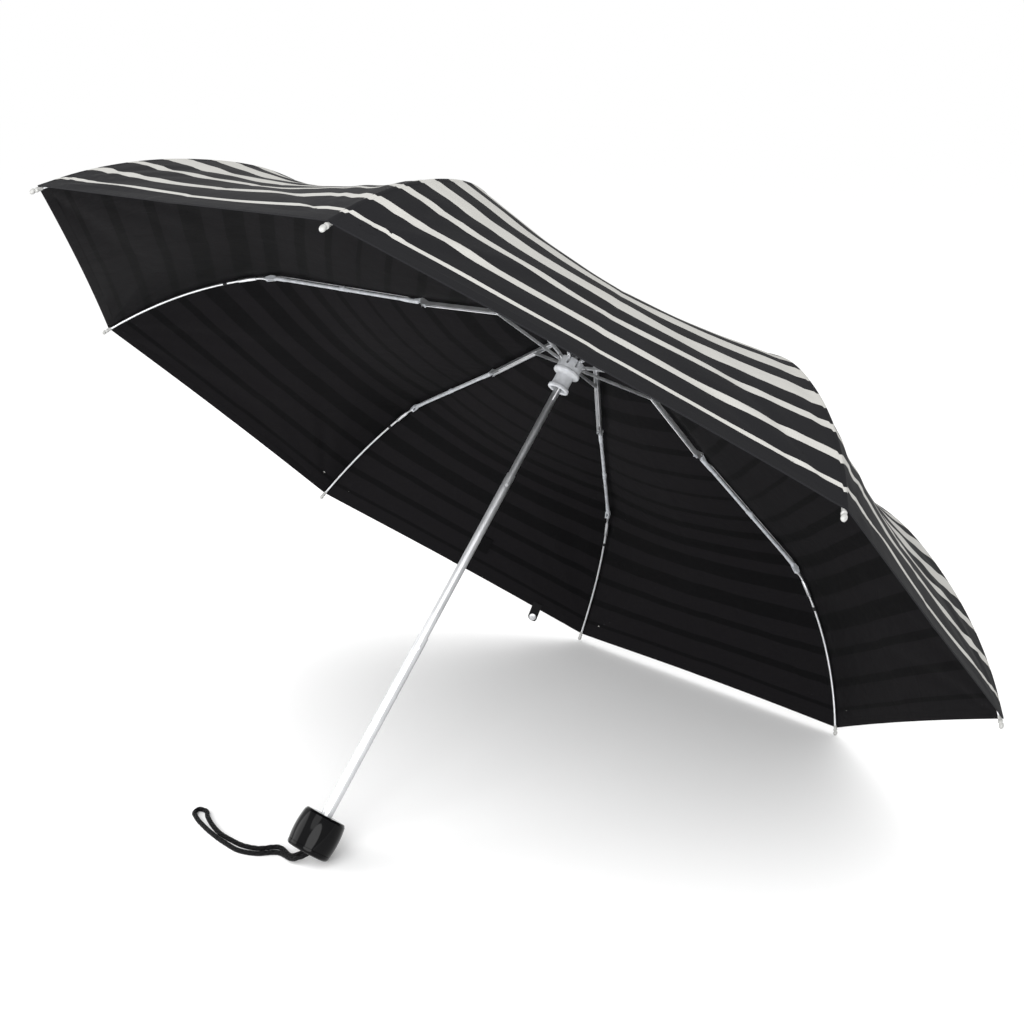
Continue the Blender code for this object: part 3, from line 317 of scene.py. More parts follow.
def pultruded_glassfibre():
    """Pultruded glassfibre rod: grey and half matt, a little uneven."""
    tone = fitting_settings().grey_rod
    material, shader = new_finish("grey_glassfibre", IOR=1.52)
    return mottled(material, shader, shade(tone, 0.9), shade(tone, 1.06), 220.0, 0.32, 0.5,
                   0.03 * MM)


def gloss_abs():
    """Moulded ABS, black and polished: mirror-like highlights, with faint handling marks."""
    tone = fitting_settings().black_plastic
    material, shader = new_finish("gloss_black_abs", IOR=1.5, Specular_IOR_Level=0.1)
    return mottled(material, shader, tone, shade(tone, 1.5), 60.0, 0.05, 0.1)


def spun_thread():
    """Spun polyester thread, black and matt, wound round a rib."""
    material, shader = new_finish("black_thread", IOR=1.5)
    return mottled(material, shader, "#0d0d0e", "#242426", 2500.0, 0.7, 0.9, 0.1 * MM)


def enamelled_tip():
    """Dipped enamel on a steel bead: light grey and glossy."""
    material, shader = new_finish("white_enamel", IOR=1.5)
    return mottled(material, shader, "#8f8f8d", "#a3a3a1", 300.0, 0.18, 0.3)


def braided_polyester():
    """Round polyester braid: strands cross each other at a slant, with painted shade in the grooves between the
    strands and a painted sheen on their crowns.
    """
    tone = fitting_settings().cord
    material, shader = new_finish(
        "black_braid", Roughness=0.6, IOR=1.5, Specular_IOR_Level=0.12)
    uv = add_node(material, "ShaderNodeUVMap", uv_map="surface")
    parts = add_node(material, "ShaderNodeSeparateXYZ", {"Vector": uv.outputs[0]})
    around, along = (
        add_node(material, "ShaderNodeMath", {0: output, 1: 2 * math.pi * rate}, operation="MULTIPLY")
        for output, rate in ((parts.outputs[0], BRAID_STRANDS), (parts.outputs[1], 1 / BRAID_LAY)))
    waves = []
    for way in ("ADD", "SUBTRACT"):
        slant = add_node(material, "ShaderNodeMath",
                         {0: around.outputs[0], 1: along.outputs[0]}, operation=way)
        waves.append(add_node(material, "ShaderNodeMath", {0: slant.outputs[0]}, operation="SINE"))
    crossed = add_node(material, "ShaderNodeMath",
                       {0: waves[0].outputs[0], 1: waves[1].outputs[0]}, operation="MAXIMUM")
    # painted shade and painted sheen: the colour runs from half the cord's tone in the grooves to over twice it on
    # the strand crowns, by the same height as the bump
    ramp = add_node(material, "ShaderNodeValToRGB", {"Fac": crossed.outputs[0]})
    ramp.color_ramp.elements[0].color = colour(shade(tone, 0.5))
    ramp.color_ramp.elements[1].color = colour(shade(tone, 2.2))
    raised = add_node(material, "ShaderNodeBump",
                      {"Height": crossed.outputs[0], "Strength": 0.9, "Distance": 0.35 * MM})
    link(material, ramp.outputs["Color"], shader, "Base Color")
    link(material, raised.outputs[0], shader, "Normal")
    return material


def woven_cloth(name, ground, stripe):
    """Woven polyester pongee, dyed and striped: matt, with a fine weave and soft crumples."""
    material, shader = new_finish(name, Roughness=0.75, IOR=1.5, Specular_IOR_Level=0.08)
    uv = add_node(material, "ShaderNodeUVMap", uv_map="surface")
    parts = add_node(material, "ShaderNodeSeparateXYZ", {"Vector": uv.outputs[0]})
    place = add_node(material, "ShaderNodeTexCoord")
    waver = add_node(material, "ShaderNodeTexNoise",
                     {"Vector": place.outputs["Object"], "Scale": 22.0, "Detail": 2.0})
    shift = add_node(material, "ShaderNodeMath",
                     {0: waver.outputs["Fac"], 1: 0.7 * MM, 2: parts.outputs[1]},
                     operation="MULTIPLY_ADD")
    share = add_node(material, "ShaderNodeMath",
                     {0: shift.outputs[0], 1: 1.0 / (PATTERN_LENGTH * MM)}, operation="MULTIPLY")
    ramp = add_node(material, "ShaderNodeValToRGB", {"Fac": share.outputs[0]})
    ramp.color_ramp.interpolation = "CONSTANT"
    stops = ramp.color_ramp.elements
    stops.remove(stops[1])
    stops[0].position = 0.0
    stops[0].color = colour(ground)
    for low, high in STRIPES:
        for edge, tone in ((low, stripe), (high, ground)):
            stops.new((edge + 0.35) / PATTERN_LENGTH).color = colour(tone)
    # threads are 0.25 mm apart, and are drawn 1.2 mm apart so that they show
    weave_scale = 2 * math.pi / (20 * 1.2 * MM)
    weave = [
        add_node(material, "ShaderNodeTexWave",
                 {"Vector": uv.outputs[0], "Scale": weave_scale, "Distortion": 0.6, "Detail": 1.0},
                 bands_direction=way)
        for way in ("X", "Y")
    ]
    threads = add_node(material, "ShaderNodeMath",
                       {0: weave[0].outputs["Fac"], 1: weave[1].outputs["Fac"]}, operation="MULTIPLY")
    # painted shade: the cloth's colour is made darker in the gaps between the threads and a little lighter where
    # they cross, by the same height as the fine bump
    thread_gap_shade = add_node(material, "ShaderNodeMapRange",
                    {"Value": threads.outputs[0], "To Min": 0.9, "To Max": 1.07})
    mixed = add_node(material, "ShaderNodeVectorMath",
                     {0: ramp.outputs["Color"], 1: thread_gap_shade.outputs[0]}, operation="MULTIPLY")
    crumple = add_node(material, "ShaderNodeTexNoise",
                       {"Vector": place.outputs["Object"], "Scale": 38.0, "Detail": 5.0,
                        "Distortion": 0.6})
    fine = add_node(material, "ShaderNodeBump",
                    {"Height": threads.outputs[0], "Strength": 0.25, "Distance": 0.1 * MM})
    soft = add_node(material, "ShaderNodeBump",
                    {"Height": crumple.outputs["Fac"], "Strength": 0.35, "Distance": 2.2 * MM,
                     "Normal": fine.outputs[0]})
    link(material, mixed.outputs[0], shader, "Base Color")
    link(material, soft.outputs[0], shader, "Normal")
    return material


_made = {}


def finish_of(maker, *words):
    """A finish that is made once and shared."""
    key = (maker.__name__, *words)
    if key not in _made:
        _made[key] = maker(*words)
    return _made[key]


# ---------------------------------------------------------------- turned and drawn pieces
def clear_selection():
    """Leaves edit mode and selects nothing."""
    if bpy.context.object and bpy.context.object.mode != "OBJECT":
        bpy.ops.object.mode_set(mode="OBJECT")
    bpy.ops.object.select_all(action="DESELECT")


def lathe(name, rings, sides=0, closed_ring=False, angle=35.0):
    """A piece about Z from rings of (radius, height, shift along X, half width along Y).

    A ring is drawn, pulled up and resized in turn. With closed_ring the last ring joins the
    first, which leaves a bore.
    """
    sides = sides or fitting_settings().lathe_sides
    rings = [(*ring, 0.0)[:3] + ((ring[3],) if len(ring) > 3 else (ring[0],)) for ring in rings]
    clear_selection()
    radius, height, shift, width = rings[0]
    bpy.ops.mesh.primitive_circle_add(vertices=sides, radius=1.0, fill_type="NOTHING")
    made = bpy.context.object
    made.name = name
    bpy.ops.object.mode_set(mode="EDIT")
    bpy.ops.mesh.select_all(action="SELECT")
    bpy.ops.transform.resize(value=(radius, width, 1), center_override=(0, 0, 0))
    bpy.ops.transform.translate(value=(shift, 0, height))
    for before, after in zip(rings, rings[1:]):
        move = (after[2] - before[2], 0, after[1] - before[1])
        bpy.ops.mesh.extrude_region_move(TRANSFORM_OT_translate={"value": move})
        bpy.ops.transform.resize(value=(after[0] / before[0], after[3] / before[3], 1),
                                 center_override=(after[2], 0, after[1]))
    bpy.ops.mesh.select_mode(type="EDGE")
    bpy.ops.mesh.select_all(action="DESELECT")
    bpy.ops.mesh.select_non_manifold()
    if closed_ring:
        bpy.ops.mesh.bridge_edge_loops()
    else:
        bpy.ops.mesh.fill_holes(sides=0)
    bpy.ops.mesh.select_all(action="SELECT")
    bpy.ops.mesh.remove_doubles(threshold=1e-7)
    bpy.ops.mesh.normals_make_consistent(inside=False)
    bpy.ops.object.mode_set(mode="OBJECT")
    bpy.ops.object.shade_smooth_by_angle(angle=math.radians(angle))
    made.data.name = name
    return made


LAID_ALONG_X = Matrix(((0, 0, 1, 0), (0, -1, 0, 0), (1, 0, 0, 0), (0, 0, 0, 1)))


def place(piece, matrix):
    """Puts a piece's place in its mesh, and leaves its object at the origin."""
    clear_selection()
    piece.select_set(True)
    bpy.context.view_layer.objects.active = piece
    piece.matrix_world = matrix @ piece.matrix_world
    bpy.ops.object.transform_apply(location=True, rotation=True, scale=True)
    return piece


def joined(name, pieces):
    """Several pieces as one object, each part with its own finish."""
    clear_selection()
    for piece in pieces:
        piece.select_set(True)
    bpy.context.view_layer.objects.active = pieces[0]
    bpy.ops.object.join()
    pieces[0].name = name
    return pieces[0]


def copy_placed(piece, name, matrix):
    """A copy of a piece with its own mesh, placed in the row frame."""
    made = piece.copy()
    made.data = piece.data.copy()
    made.name = made.data.name = name
    bpy.context.scene.collection.objects.link(made)
    return place(made, matrix)


def cut_out(piece, cutter):
    """Cuts one piece out of another, and removes the cutter."""
    clear_selection()
    piece.select_set(True)
    bpy.context.view_layer.objects.active = piece
    bpy.ops.object.modifier_add(type="BOOLEAN")
    piece.modifiers[-1].object = cutter
    piece.modifiers[-1].operation = "DIFFERENCE"
    bpy.ops.object.modifier_apply(modifier=piece.modifiers[-1].name)
    bpy.data.objects.remove(cutter)


def coated(piece, material):
    """Gives a piece its finish."""
    piece.data.materials.clear()
    piece.data.materials.append(material)


def in_mm(rings):
    """Rings given in millimetres, in metres."""
    return [tuple(value * MM for value in ring) for ring in rings]


def smooth_curve(points, places):
    """The points at these distances along a smooth curve through the given points."""
    points = np.array(points, float)
    steps = np.linalg.norm(np.diff(points, axis=0), axis=1)
    marks = np.concatenate([[0.0], np.cumsum(steps)])
    slopes = np.gradient(points, marks, axis=0)
    index = np.clip(np.searchsorted(marks, places) - 1, 0, len(steps) - 1)
    width = steps[index][..., None]
    share = ((places - marks[index]) / steps[index])[..., None]
    start, end = points[index], points[index + 1]
    leave, arrive = slopes[index] * width, slopes[index + 1] * width
    return ((2 * share**3 - 3 * share**2 + 1) * start + (share**3 - 2 * share**2 + share) * leave
            + (3 * share**2 - 2 * share**3) * end + (share**3 - share**2) * arrive)


def line_marks(points):
    """Distance along a line of points at each of them."""
    steps = np.linalg.norm(np.diff(np.array(points, float), axis=0), axis=1)
    return np.concatenate([[0.0], np.cumsum(steps)])


# ---------------------------------------------------------------- cloth
RIB_MARKS = line_marks(RIB_LINE) * MM
RIB_REACH = RIB_MARKS[-1]


def rib_line(share):
    """(radius, height) of the cloth's inner face over a rib, in metres."""
    flat = np.clip(share, 0, 1).ravel() * RIB_REACH / MM
    return (smooth_curve(RIB_LINE, flat) * MM).reshape(*share.shape, 2)


def cloth_rows():
    """Shares of the rib's length at each row, and the rows where the three zones meet."""
    folds = [RIB_MARKS[at] / RIB_REACH for at in FOLDS_AT]
    edges = [0.0, *folds, 1.0]
    shares, limits = [0.0], [0]
    for low, high, rows in zip(edges, edges[1:], ZONE_ROWS):
        shares += list(np.linspace(low, high, rows + 1)[1:])
        limits.append(len(shares) - 1)
    hem = [1 - HEM_WIDTH * part / RIB_REACH for part in (1.06, 0.96, 0.06)]
    kept = [s for s in shares if s < hem[0] - 0.002] + hem + [1.0]
    limits[-1] = len(kept) - 1
    return np.array(kept), limits


def half_columns(half_width):
    """Distances from the rib at each column of a half panel, for each row's half width."""
    seam = np.minimum(SEAM_WIDTH, 0.3 * half_width)[:, None]
    rest = np.linspace(0, 1, HALF_COLUMNS - 2)[None, 1:]
    wide = seam * 1.15 + (half_width[:, None] - seam * 1.15) * rest
    return np.concatenate([seam * 0, seam * 0.88, seam * 1.15, wide], axis=1)


def ramp_up(value, end):
    """0 at 0, 1 from end on, smooth between."""
    share = np.clip(value / end, 0, 1)
    return share * share * (3 - 2 * share)


def wrinkles(panel, across, from_rim, half_rim, half_width):
    """Height of the creases over one panel: fans from both rib tips, and puckers at the seams."""
    rng = np.random.default_rng(40 + panel)
    raised = np.zeros_like(across)
    for side in (-1, 1):
        reach = across * side + half_rim
        angle = np.arctan2(from_rim, np.maximum(reach, 1e-6))
        distance = np.hypot(reach, from_rim)
        fade = distance / 0.08 * np.exp(1 - distance / 0.08)
        waves = sum(
            share * np.sin(count * angle + rng.uniform(0, 2 * math.pi))
            for count, share in ((13.0, 0.55), (22.0, 0.45), (37.0, 0.22))
        )
        raised += fade * waves
    near = half_width - np.abs(across)
    pucker = np.sin(2 * math.pi * from_rim / 0.021 + 2.0 * np.sin(from_rim / 0.05 + panel))
    raised += 0.4 * pucker * np.exp(-near / 0.016)
    raised += 0.5 * np.sin(from_rim / 0.06 + rng.uniform(0, 6)) * np.cos(across / 0.055)
    crease = -0.45 * np.exp(-np.abs(across) / 0.005)
    hub_fade = ramp_up(half_width, 0.03)
    return (raised + crease) * ramp_up(near, 0.012) * hub_fade


def cloth_grid():
    """The whole cloth in the umbrella's frame: inner and outer points, normals and surface marks."""
    settings = cloth_settings()
    shares, limits = cloth_rows()
    line = rib_line(shares)
    half_width = line[:, 0] * math.sin(math.pi / RIB_COUNT)
    half = half_columns(half_width)
    middle = line[:, 0] * math.cos(math.pi / RIB_COUNT)
    down_middle = line_marks(np.stack([middle, line[:, 1]], axis=1))
    from_rim = down_middle[-1] - down_middle
    inner, outer, marks = [], [], []
    for panel in range(RIB_COUNT):
        reach = np.concatenate([half, 2 * half_width[:, None] - half[:, -2:0:-1]], axis=1)
        side = reach / (2 * half_width[:, None])
        between = 4 * side * (1 - side)
        share = shares[:, None] * (1 - settings.rim_dip * between * shares[:, None] ** 2)
        at = rib_line(share)
        ahead, behind = rib_line(np.minimum(share + 0.01, 1)), rib_line(np.maximum(share - 0.01, 0))
        slope = np.arctan2(behind[..., 1] - ahead[..., 1], ahead[..., 0] - behind[..., 0])
        turns = [2 * math.pi * (panel + add + 0.5) / RIB_COUNT for add in (0, 1)]
        ends = [np.stack([at[..., 0] * math.cos(t), at[..., 0] * math.sin(t), at[..., 1]], axis=-1)
                for t in turns]
        point = ends[0] * (1 - side[..., None]) + ends[1] * side[..., None]
        turn = turns[0] + (turns[1] - turns[0]) * side
        out = np.stack([np.sin(slope) * np.cos(turn), np.sin(slope) * np.sin(turn),
                        np.cos(slope)], axis=-1)
        sag = settings.sag * between * np.sin(math.pi * np.clip(share, 0, 1) ** 1.6)
        across = reach - half_width[:, None]
        crease = settings.wrinkles * wrinkles(
            panel, across, from_rim[:, None], half_width[-1], half_width[:, None])
        face = point + out * (crease - sag)[..., None]
        near = np.minimum(reach, 2 * half_width[:, None] - reach)
        seam = np.where(near < SEAM_WIDTH, SEAM_RISE, 0.0)
        hem = np.where(from_rim[:, None] < HEM_WIDTH, HEM_RISE, 0.0) * ramp_up(near + 1 * MM, 2 * MM)
        inner.append(face - out * hem[..., None])
        outer.append(face + out * (CLOTH + np.maximum(seam, hem))[..., None])
        jog = 0.6 * MM * np.tanh(across / (2.5 * MM)) + np.where(near < SEAM_WIDTH, SEAM_STEP, 0.0)
        marks.append(np.stack([near, from_rim[:, None] + jog], axis=-1))
    inner, outer, marks = (np.concatenate(part, axis=1) for part in (inner, outer, marks))
    return inner, outer, marks, limits, half_width, shares


def grid_normals(points):
    """Unit normals of a grid that closes on itself round the shaft."""
    down = np.gradient(points, axis=0)
    around = np.roll(points, -1, axis=1) - np.roll(points, 1, axis=1)
    normal = np.cross(down, around)
    return normal / np.maximum(np.linalg.norm(normal, axis=-1, keepdims=True), 1e-12)


def drawn_mesh(name, points, faces, corner_marks):
    """A smooth object from points and faces, with its surface marks as a UV map."""
    mesh = bpy.data.meshes.new(name)
    mesh.from_pydata(points.tolist(), [], faces)
    surface = mesh.uv_layers.new(name="surface")
    surface.data.foreach_set("uv", np.asarray(corner_marks, np.float32).ravel())
    mesh.polygons.foreach_set("use_smooth", [True] * len(faces))
    made = bpy.data.objects.new(name, mesh)
    bpy.context.scene.collection.objects.link(made)
    return made


def shell(name, inner, outer, inner_normals, outer_normals, marks, materials):
    """A closed sheet from the same patch of an inner and an outer grid, in the row frame."""
    rows, columns = inner.shape[:2]
    count = rows * columns
    points = np.concatenate([outer.reshape(-1, 3), inner.reshape(-1, 3)])
    turn = np.array(UMBRELLA.to_3x3())
    points = points @ turn.T + np.array(UMBRELLA.translation)
    index = np.arange(count).reshape(rows, columns)
    quads = np.stack([index[:-1, :-1], index[1:, :-1], index[1:, 1:], index[:-1, 1:]], axis=-1)
    quads = quads.reshape(-1, 4)
    rim = np.concatenate([index[:, 0], index[-1, 1:], index[-2::-1, -1], index[0, -2:0:-1]])
    ahead = np.roll(rim, -1)
    walls = np.stack([ahead, rim, rim + count, ahead + count], axis=-1)
    faces = np.concatenate([quads, quads[:, ::-1] + count, walls])
    corners = faces.ravel()
    made = drawn_mesh(name, points, faces.tolist(),
                      np.concatenate([marks.reshape(-1, 2)] * 2)[corners])
    mesh = made.data
    for material in materials:
        mesh.materials.append(material)
    kinds = [0] * len(quads) + [1] * len(quads) + [0] * len(walls)
    mesh.polygons.foreach_set("material_index", kinds)
    normals = np.concatenate([outer_normals.reshape(-1, 3), -inner_normals.reshape(-1, 3)]) @ turn.T
    by_corner = normals[corners]
    start, ahead_of, _, above = points[walls].transpose(1, 0, 2)
    flat = np.cross(ahead_of - start, above - start)
    flat /= np.maximum(np.linalg.norm(flat, axis=-1, keepdims=True), 1e-12)
    by_corner[-4 * len(walls):] = np.repeat(flat, 4, axis=0)
    mesh.normals_split_custom_set(by_corner.tolist())
    mesh.update()
    return made


def gather(piece, rib, zone, side):
    """Lets a piece of cloth ride on its rib."""
    folds = [RIB_MARKS[at] / RIB_REACH for at in FOLDS_AT]
    edges = [0.0, *folds, 1.0]
    low, high = edges[zone], edges[zone + 1]
    spots = rib_line(np.array([low, high, (low + high) / 2]))
    start, end, centre = (rib_plane(rib) @ Vector((x, 0, z)) for x, z in spots)
    radius, height = spots[2]
    turn = math.pi / RIB_COUNT
    reach = radius * math.cos(turn)
    middle = Vector((reach * math.cos(turn), side * reach * math.sin(turn), height))
    across = rib_plane(rib) @ middle - centre
    along = (end - start).normalized()
    across -= along * across.dot(along)
    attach(piece, f"{ZONES[zone]}_rib_{rib}")
    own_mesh(piece)


def sew_on(piece, node, rib, zone, side, **sheet):
    """Fits a sheet in place of a node, on its rib."""
    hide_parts(node)
    gather(piece, rib, zone, side)


def cut_patch(grid, rows, columns):
    """A patch of a grid that closes on itself."""
    return grid[rows[0]:rows[1] + 1][:, [c % grid.shape[1] for c in columns]]


class UMBRELLA_OT_canopy(bpy.types.Operator):
    """Sew the eight panels, each half in three parts that follow the folding ribs"""

    bl_idname = "umbrella.canopy"
    bl_label = "Canopy"

    def execute(self, context):
        """Builds the whole cloth and shares it out to the ribs."""
        settings = cloth_settings()
        inner, outer, marks, limits, half_width, shares = cloth_grid()
        inner_normals, outer_normals = grid_normals(inner), grid_normals(outer)
        materials = [finish_of(woven_cloth, "striped_pongee", settings.charcoal, settings.off_white),
                     finish_of(woven_cloth, "dark_pongee_back", settings.inner_ground,
                               settings.inner_bands)]
        for rib in range(1, RIB_COUNT + 1):
            base = PANEL_COLUMNS * (rib - 1)
            for side, word in ((1, "left"), (-1, "right")):
                first = base if side > 0 else base - HALF_COLUMNS + 1
                run = range(first, first + HALF_COLUMNS)
                for zone, (low, high) in enumerate(zip(limits, limits[1:])):
                    patch = [cut_patch(grid, (low, high), run)
                             for grid in (inner, outer, inner_normals, outer_normals, marks)]
                    made = shell(f"canopy_{ZONES[zone]}_{rib}_{word}", *patch, materials)
                    length = (shares[high] - shares[low]) * RIB_REACH
                    wide, narrow = half_width[high], half_width[low]
                    sew_on(made, "canopy", rib, zone, side, flat=(float(wide), float(length)),
                           rests_on=[f"{ZONES[zone]}_rib_{rib}"],
                           area=float((wide + narrow) / 2 * length))
        return {"FINISHED"}


class UMBRELLA_OT_closing_band(bpy.types.Operator):
    """Sew the closing band with its snap to the rim, and the blank tab inside"""

    bl_idname = "umbrella.closing_band"
    bl_label = "Closing band"

    def execute(self, context):
        """Builds the band, the snap and the tab."""
        cloth = finish_of(woven_cloth, "black_band_cloth", "#161617", "#161617")
        settings = cloth_settings()
        inner, _, marks, limits, _, _ = cloth_grid()
        normals = grid_normals(inner)
        rim, above = inner[-1], inner[-6]
        places = line_marks(rim[:HALF_COLUMNS])
        left = 2 * places[-1] * BAND_PLACE - BAND_WIDTH / 2
        spots = np.linspace(left, left + BAND_WIDTH, 9)
        edge = np.stack([np.interp(spots, places, rim[:HALF_COLUMNS, axis])
                         for axis in range(3)], axis=1)
        at = int(np.argmin(np.abs(places - left - BAND_WIDTH / 2)))
        down = rim[at] - above[at]
        down /= np.linalg.norm(down)
        out = normals[-2, at]
        drops = np.linspace(-BAND_HIDDEN, BAND_LENGTH, 16)
        end_round = BAND_WIDTH * 0.3
        round_off = np.sqrt(np.clip(1 - np.linspace(-1, 1, 9) ** 2, 0, 1)) * end_round
        lift = (end_round - round_off) / BAND_LENGTH
        grid = np.stack([edge + np.outer(drop - lift * max(drop, 0), down) for drop in drops])
        grid = grid - out * BAND_UNDER
        facing = np.broadcast_to(out, grid.shape)
        flat_marks = np.zeros(grid.shape[:2] + (2,))
        flat_marks[..., 0] = spots[None]
        flat_marks[..., 1] = drops[:, None]
        band = shell("band_cloth", grid, grid + out * 0.7 * MM, facing, facing, flat_marks, [cloth] * 2)
        sew_on(band, "closing_band", 1, 2, 1, flat=(BAND_WIDTH, BAND_LENGTH + BAND_HIDDEN),
               rests_on=["canopy_outer_1_left"])
        snap = lathe("snap_stud", in_mm(SNAP_PROFILE), sides=32)
        centre = (edge[4] + down * (BAND_LENGTH - SNAP_FROM_END)) - out * BAND_UNDER
        side = np.cross(down, out)
        stand = Matrix((side, down, np.cross(side, down))).transposed().to_4x4()
        place(snap, UMBRELLA @ Matrix.Translation(centre) @ stand)
        coated(snap, finish_of(nickel_plated_steel))
        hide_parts("band_snap")
        gather(snap, 1, 2, 1)
        rows = [r for r in range(limits[2], limits[3]) if 0.030 < marks[r, 10, 1] < 0.062]
        run = range(HALF_COLUMNS - 5, HALF_COLUMNS - 2)
        patch, way, spots = (cut_patch(whole, (rows[0], rows[-1]), run)
                             for whole in (inner, normals, marks))
        tab = shell("blank_tab", patch - way * 1.0 * MM, patch - way * 0.5 * MM, way, way, spots,
                    [finish_of(woven_cloth, "tab_cloth", *[settings.inner_bands] * 2)] * 2)
        size = patch[0, 0] - patch[0, -1], patch[0, 0] - patch[-1, 0]
        sew_on(tab, "canopy", 1, 2, 1, flat=tuple(float(np.linalg.norm(edge)) for edge in size),
               rests_on=["canopy_outer_1_left"])
        return {"FINISHED"}


# ---------------------------------------------------------------- strap
def strap_line():
    """The strap's centreline in the row frame: out of the handle, over the floor and back."""
    cap = NODES["handle_end_cap"].data.vertices
    foot = min((v.co for v in cap), key=lambda co: co.z)
    heights = (HANDLE_BOTTOM + END_CAP_HEIGHT + 2.3 * MM, HANDLE_BOTTOM + 1.5 * MM)
    out = [UMBRELLA @ Vector((0, -STRAP_APART, h)) for h in heights]
    back = [UMBRELLA @ Vector((0, STRAP_APART, h)) for h in reversed(heights)]
    mouth = UMBRELLA @ Vector((0, 0, HANDLE_BOTTOM - 4.2 * MM))
    out.append(mouth + Vector(STRAP_BEND) * 7 * MM + Vector(STRAP_ASIDE) * STRAP_APART)
    back.insert(0, mouth + Vector(STRAP_BEND) * 9 * MM - Vector(STRAP_ASIDE) * STRAP_APART)
    level = STRAP_RADIUS + 0.1 * MM
    laid = [Vector((foot.x + x * MM, foot.y + y * MM, level))
            for x, y in STRAP_OUTWARD + STRAP_END + STRAP_RETURN]
    points = np.array([tuple(p) for p in out + laid + back])
    marks = line_marks(points)
    line = smooth_curve(points, np.linspace(0, marks[-1], 760))
    line[:, 2] = np.maximum(line[:, 2], level)
    return line


def braid_along(name, line, radius, sides=32):
    """A braided cord along a line of points, with its turns and length as surface marks."""
    tangents = np.gradient(line, axis=0)
    tangents /= np.linalg.norm(tangents, axis=1, keepdims=True)
    side = np.cross(tangents[0], (0.3, 0.2, 0.9))
    frames = []
    for tangent in tangents:
        side = side - tangent * side.dot(tangent)
        side /= np.linalg.norm(side)
        frames.append((side, np.cross(tangent, side)))
    turns = np.linspace(0, 2 * math.pi, sides, endpoint=False)
    faces, marks, rings = [], [], []
    reach = line_marks(line)
    for spot, (a, b), along in zip(line, frames, reach):
        lay = 2 * math.pi * along / BRAID_LAY
        crossed = np.maximum(np.sin(BRAID_STRANDS * turns + lay), np.sin(BRAID_STRANDS * turns - lay))
        swell = (radius * (0.95 + 0.07 * crossed))[:, None]
        rings.append(spot + swell * (np.outer(np.cos(turns), a) + np.outer(np.sin(turns), b)))
    points = np.concatenate([*rings, line[:1], line[-1:]])
    for row in range(len(line) - 1):
        for turn in range(sides):
            after = (turn + 1) % sides
            low, high = row * sides, (row + 1) * sides
            faces.append((low + turn, low + after, high + after, high + turn))
            marks += [(turn / sides, reach[row]), ((turn + 1) / sides, reach[row]),
                      ((turn + 1) / sides, reach[row + 1]), (turn / sides, reach[row + 1])]
    first, last, end = len(points) - 2, len(points) - 1, (len(line) - 1) * sides
    for turn in range(sides):
        after = (turn + 1) % sides
        faces += [(after, turn, first), (end + turn, end + after, last)]
        marks += [(0, 0)] * 6
    return drawn_mesh(name, points, faces, marks)


class UMBRELLA_OT_strap(bpy.types.Operator):
    """Lay the braided wrist strap from the handle over the floor and back"""

    bl_idname = "umbrella.strap"
    bl_label = "Wrist strap"

    def execute(self, context):
        """Builds the strap as one cord along its whole line."""
        line = strap_line()
        strap = braid_along("strap_cord", line, STRAP_RADIUS)
        coated(strap, finish_of(braided_polyester))
        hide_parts("wrist_strap")
        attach(strap, "handle")
        return {"FINISHED"}


# ---------------------------------------------------------------- handle and hub pieces
class UMBRELLA_OT_handle(bpy.types.Operator):
    """Turn the handle's barrel and its end cap, with a fine joint between them"""

    bl_idname = "umbrella.handle"
    bl_label = "Handle"

    def execute(self, context):
        """Builds the barrel and the cap."""
        top, low = HANDLE_TOP, HANDLE_BOTTOM + END_CAP_HEIGHT
        middle = (HANDLE_TOP + HANDLE_BOTTOM) / 2

        def barrel(height):
            share = (height - middle) / (HANDLE_TOP - middle)
            return HANDLE_BARREL_RADIUS - (HANDLE_BARREL_RADIUS - HANDLE_END_RADIUS) * share**2

        bore, round_top = HANDLE_BORE, HANDLE_CROWN
        wall = [(barrel(h), h) for h in np.linspace(low + 0.2 * MM, top - round_top, 12)]
        crown = [(barrel(top) - round_top * (1 - math.cos(t)), top - round_top * (1 - math.sin(t)))
                 for t in np.linspace(0.2, math.pi / 2, 7)]
        rings = [(bore, low + 0.1 * MM), (barrel(low) - 0.12 * MM, low + 0.1 * MM), *wall, *crown,
                 (bore + 0.6 * MM, top), (bore, top - 0.4 * MM)]
        body = lathe("handle_barrel", rings, sides=96, closed_ring=True)
        corner, foot, hole = HANDLE_CORNER, HANDLE_BOTTOM, HANDLE_MOUTH
        edge = barrel(low) - 0.1 * MM
        lower = [(edge - corner * (1 - math.sin(t)), foot + corner * (1 - math.cos(t)))
                 for t in np.linspace(0, math.pi / 2, 9)]
        rings = [(hole, foot + 0.6 * MM), (hole + 0.6 * MM, foot), *lower,
                 (edge, low - 0.15 * MM), (edge - 0.1 * MM, low - 0.05 * MM), (hole, low - 0.05 * MM)]
        cap = lathe("handle_cap", rings, sides=96, closed_ring=True)
        for piece, node in ((body, "handle"), (cap, "handle_end_cap")):
            place(piece, UMBRELLA)
            coated(piece, finish_of(gloss_abs))
            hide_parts(node)
            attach(piece, "handle")
        return {"FINISHED"}


def slot_cutters(low, high):
    """Eight bars that cut the slots for the ribs' flat ends."""
    bars = []
    for rib in range(1, RIB_COUNT + 1):
        clear_selection()
        bpy.ops.mesh.primitive_cube_add(size=1.0, location=(16.9 * MM, 0, (low + high) / 2),
                                        scale=(20 * MM, RIB_SLOT, high - low))
        bar = bpy.context.object
        bpy.ops.object.transform_apply(location=True, rotation=True, scale=True)
        bars.append(place(bar, Matrix.Rotation(2 * math.pi * (rib - 0.5) / RIB_COUNT, 4, "Z")))
    return joined("slot_cutter", bars)


